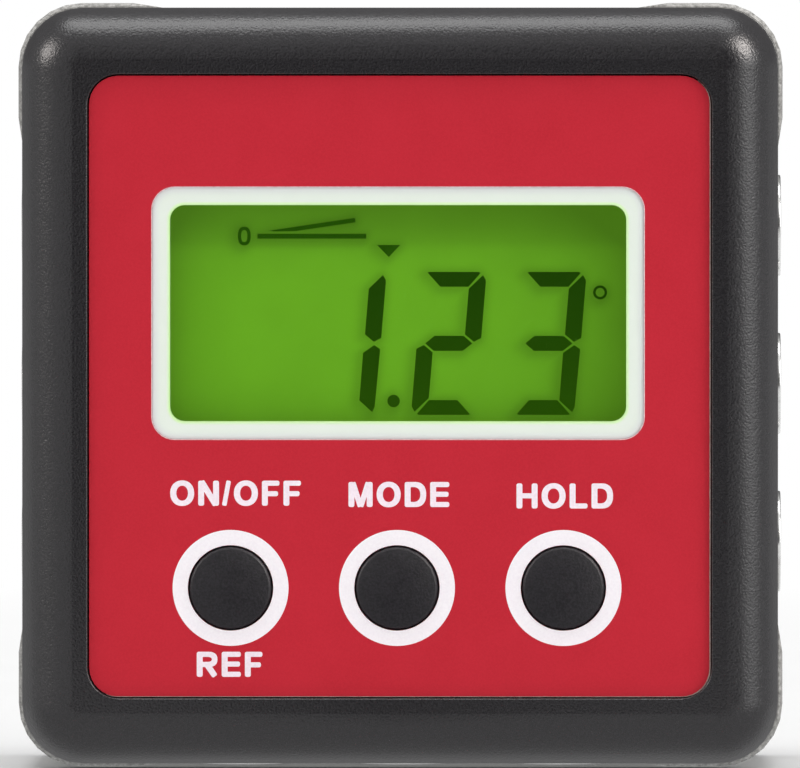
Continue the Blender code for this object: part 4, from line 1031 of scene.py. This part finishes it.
def room_shade(graph, camera_ray):
    """The room as shiny surfaces see it, and plain white to the camera"""
    towards = graph.node("ShaderNodeTexCoord").outputs["Generated"]
    wide = graph.vectors("MULTIPLY", towards, ROOM_STRETCH)[0]
    unit = graph.node("ShaderNodeVectorMath", {0: wide}, operation="NORMALIZE").outputs[0]
    along = graph.vectors("DOT_PRODUCT", unit, Vector(ROOM_AXIS).normalized())["Value"]
    angle = graph.maths("ARCCOSINE", along)
    front = graph.span(angle, *[math.radians(edge) for edge in ROOM_EDGE], ROOM_DARK, 1.0)
    behind = graph.node("ShaderNodeSeparateXYZ", {0: towards}).outputs["Y"]
    back = graph.span(behind, 0.0, ROOM_BACK[0], 1.0, ROOM_BACK[1])
    return graph.maths("MAXIMUM", graph.maths("MULTIPLY", front, back), camera_ray)


def make_world():
    """A soft even sky for the light, plain white for the camera, and the room for shiny surfaces"""
    world = bpy.data.worlds.new("studio")
    bpy.context.scene.world = world
    world.use_nodes = True
    graph = Graph(world.node_tree)
    rays = graph.node("ShaderNodeLightPath").outputs
    seen = graph.maths("MAXIMUM", rays["Is Camera Ray"], rays["Is Glossy Ray"])
    seen = graph.maths("MAXIMUM", seen, rays["Is Transmission Ray"])
    room = room_shade(graph, rays["Is Camera Ray"])
    sky = world.node_tree.nodes["Background"]
    graph.feed(sky.inputs["Strength"], graph.span(seen, 0.0, 1.0, SKY_LIGHT, room))
    graph.feed(sky.inputs["Color"], (1.0, 1.0, 1.0))


CENTRE = Vector((0.0, 0.0, 0.030))
WARM = (1.0, 0.94, 0.90)
# Energy of an area lamp, in watts, for each unit of radiance and each square metre
LAMP_ENERGY = 4
# Soft boxes: name, direction from the part (degrees right of the front, degrees up), distance, size,
# radiance, and whether it only shines on glossy surfaces
LAMPS = (
    ("overhead", 0.0, 87.0, 1.2, (0.96, 0.70), 3.6, False),
    ("right", 55.0, 8.0, 1.8, (1.00, 1.00), 2.4, False),
    ("upper_right", 51.0, 32.0, 1.6, (0.66, 0.66), 15.0, True),
    ("upper_left", -67.0, 25.0, 1.6, (0.62, 0.62), 9.0, True),
)


def direction(right, up):
    """Towards a place so many degrees right of the front and so many degrees up"""
    across, height = math.radians(right), math.radians(up)
    return Vector((math.sin(across) * math.cos(height), -math.cos(across) * math.cos(height),
                   math.sin(height)))


def aim(thing, target, towards, distance):
    """Stand a lamp or camera off from its target, looking at it"""
    thing.location = target + towards * distance
    thing.rotation_euler = towards.to_track_quat("Z", "Y").to_euler()


def make_lamps():
    for name, right, up, distance, size, radiance, shine in LAMPS:
        data = bpy.data.lights.new(f"softbox_{name}", "AREA")
        data.shape = "RECTANGLE"
        data.size, data.size_y = size
        data.energy = LAMP_ENERGY * radiance * size[0] * size[1]
        if shine:
            data.color = WARM
        lamp = link(f"softbox_{name}", data)
        aim(lamp, CENTRE, direction(right, up), distance)
        lamp.visible_diffuse = not shine


# The camera stands far off: a little above, and a hair to the right of the middle
CAMERA_TARGET = Vector((0.0, -0.0125, 0.03013))
CAMERA_DISTANCE = 1.2
CAMERA_RIGHT = 0.6
CAMERA_UP = 0.84
FIELD_WIDTH = 0.06265
SENSOR = 36.0


def make_camera():
    data = bpy.data.cameras.new("photo_camera")
    data.sensor_width = SENSOR
    data.lens = SENSOR * CAMERA_DISTANCE / FIELD_WIDTH
    data.clip_start = 0.01
    data.clip_end = 100.0
    camera = link("photo_camera", data)
    aim(camera, CAMERA_TARGET, direction(CAMERA_RIGHT, CAMERA_UP), CAMERA_DISTANCE)
    bpy.context.scene.camera = camera


make_camera()
finish_nodes()
make_label_prints(print_white("ring_print_white", (0.90, 0.85, 0.895), (0.96, 0.925, 0.955)),
                  print_white("word_print_white", (0.86, 0.73, 0.81), (0.95, 0.87, 0.93)), print_rim_highlight())
make_label_edge_highlight(print_edge_highlight())
make_display(display_field(), display_ink(), fine_ink())
make_world()
make_lamps()
make_floor()
bpy.context.scene.view_settings.view_transform = "Standard"
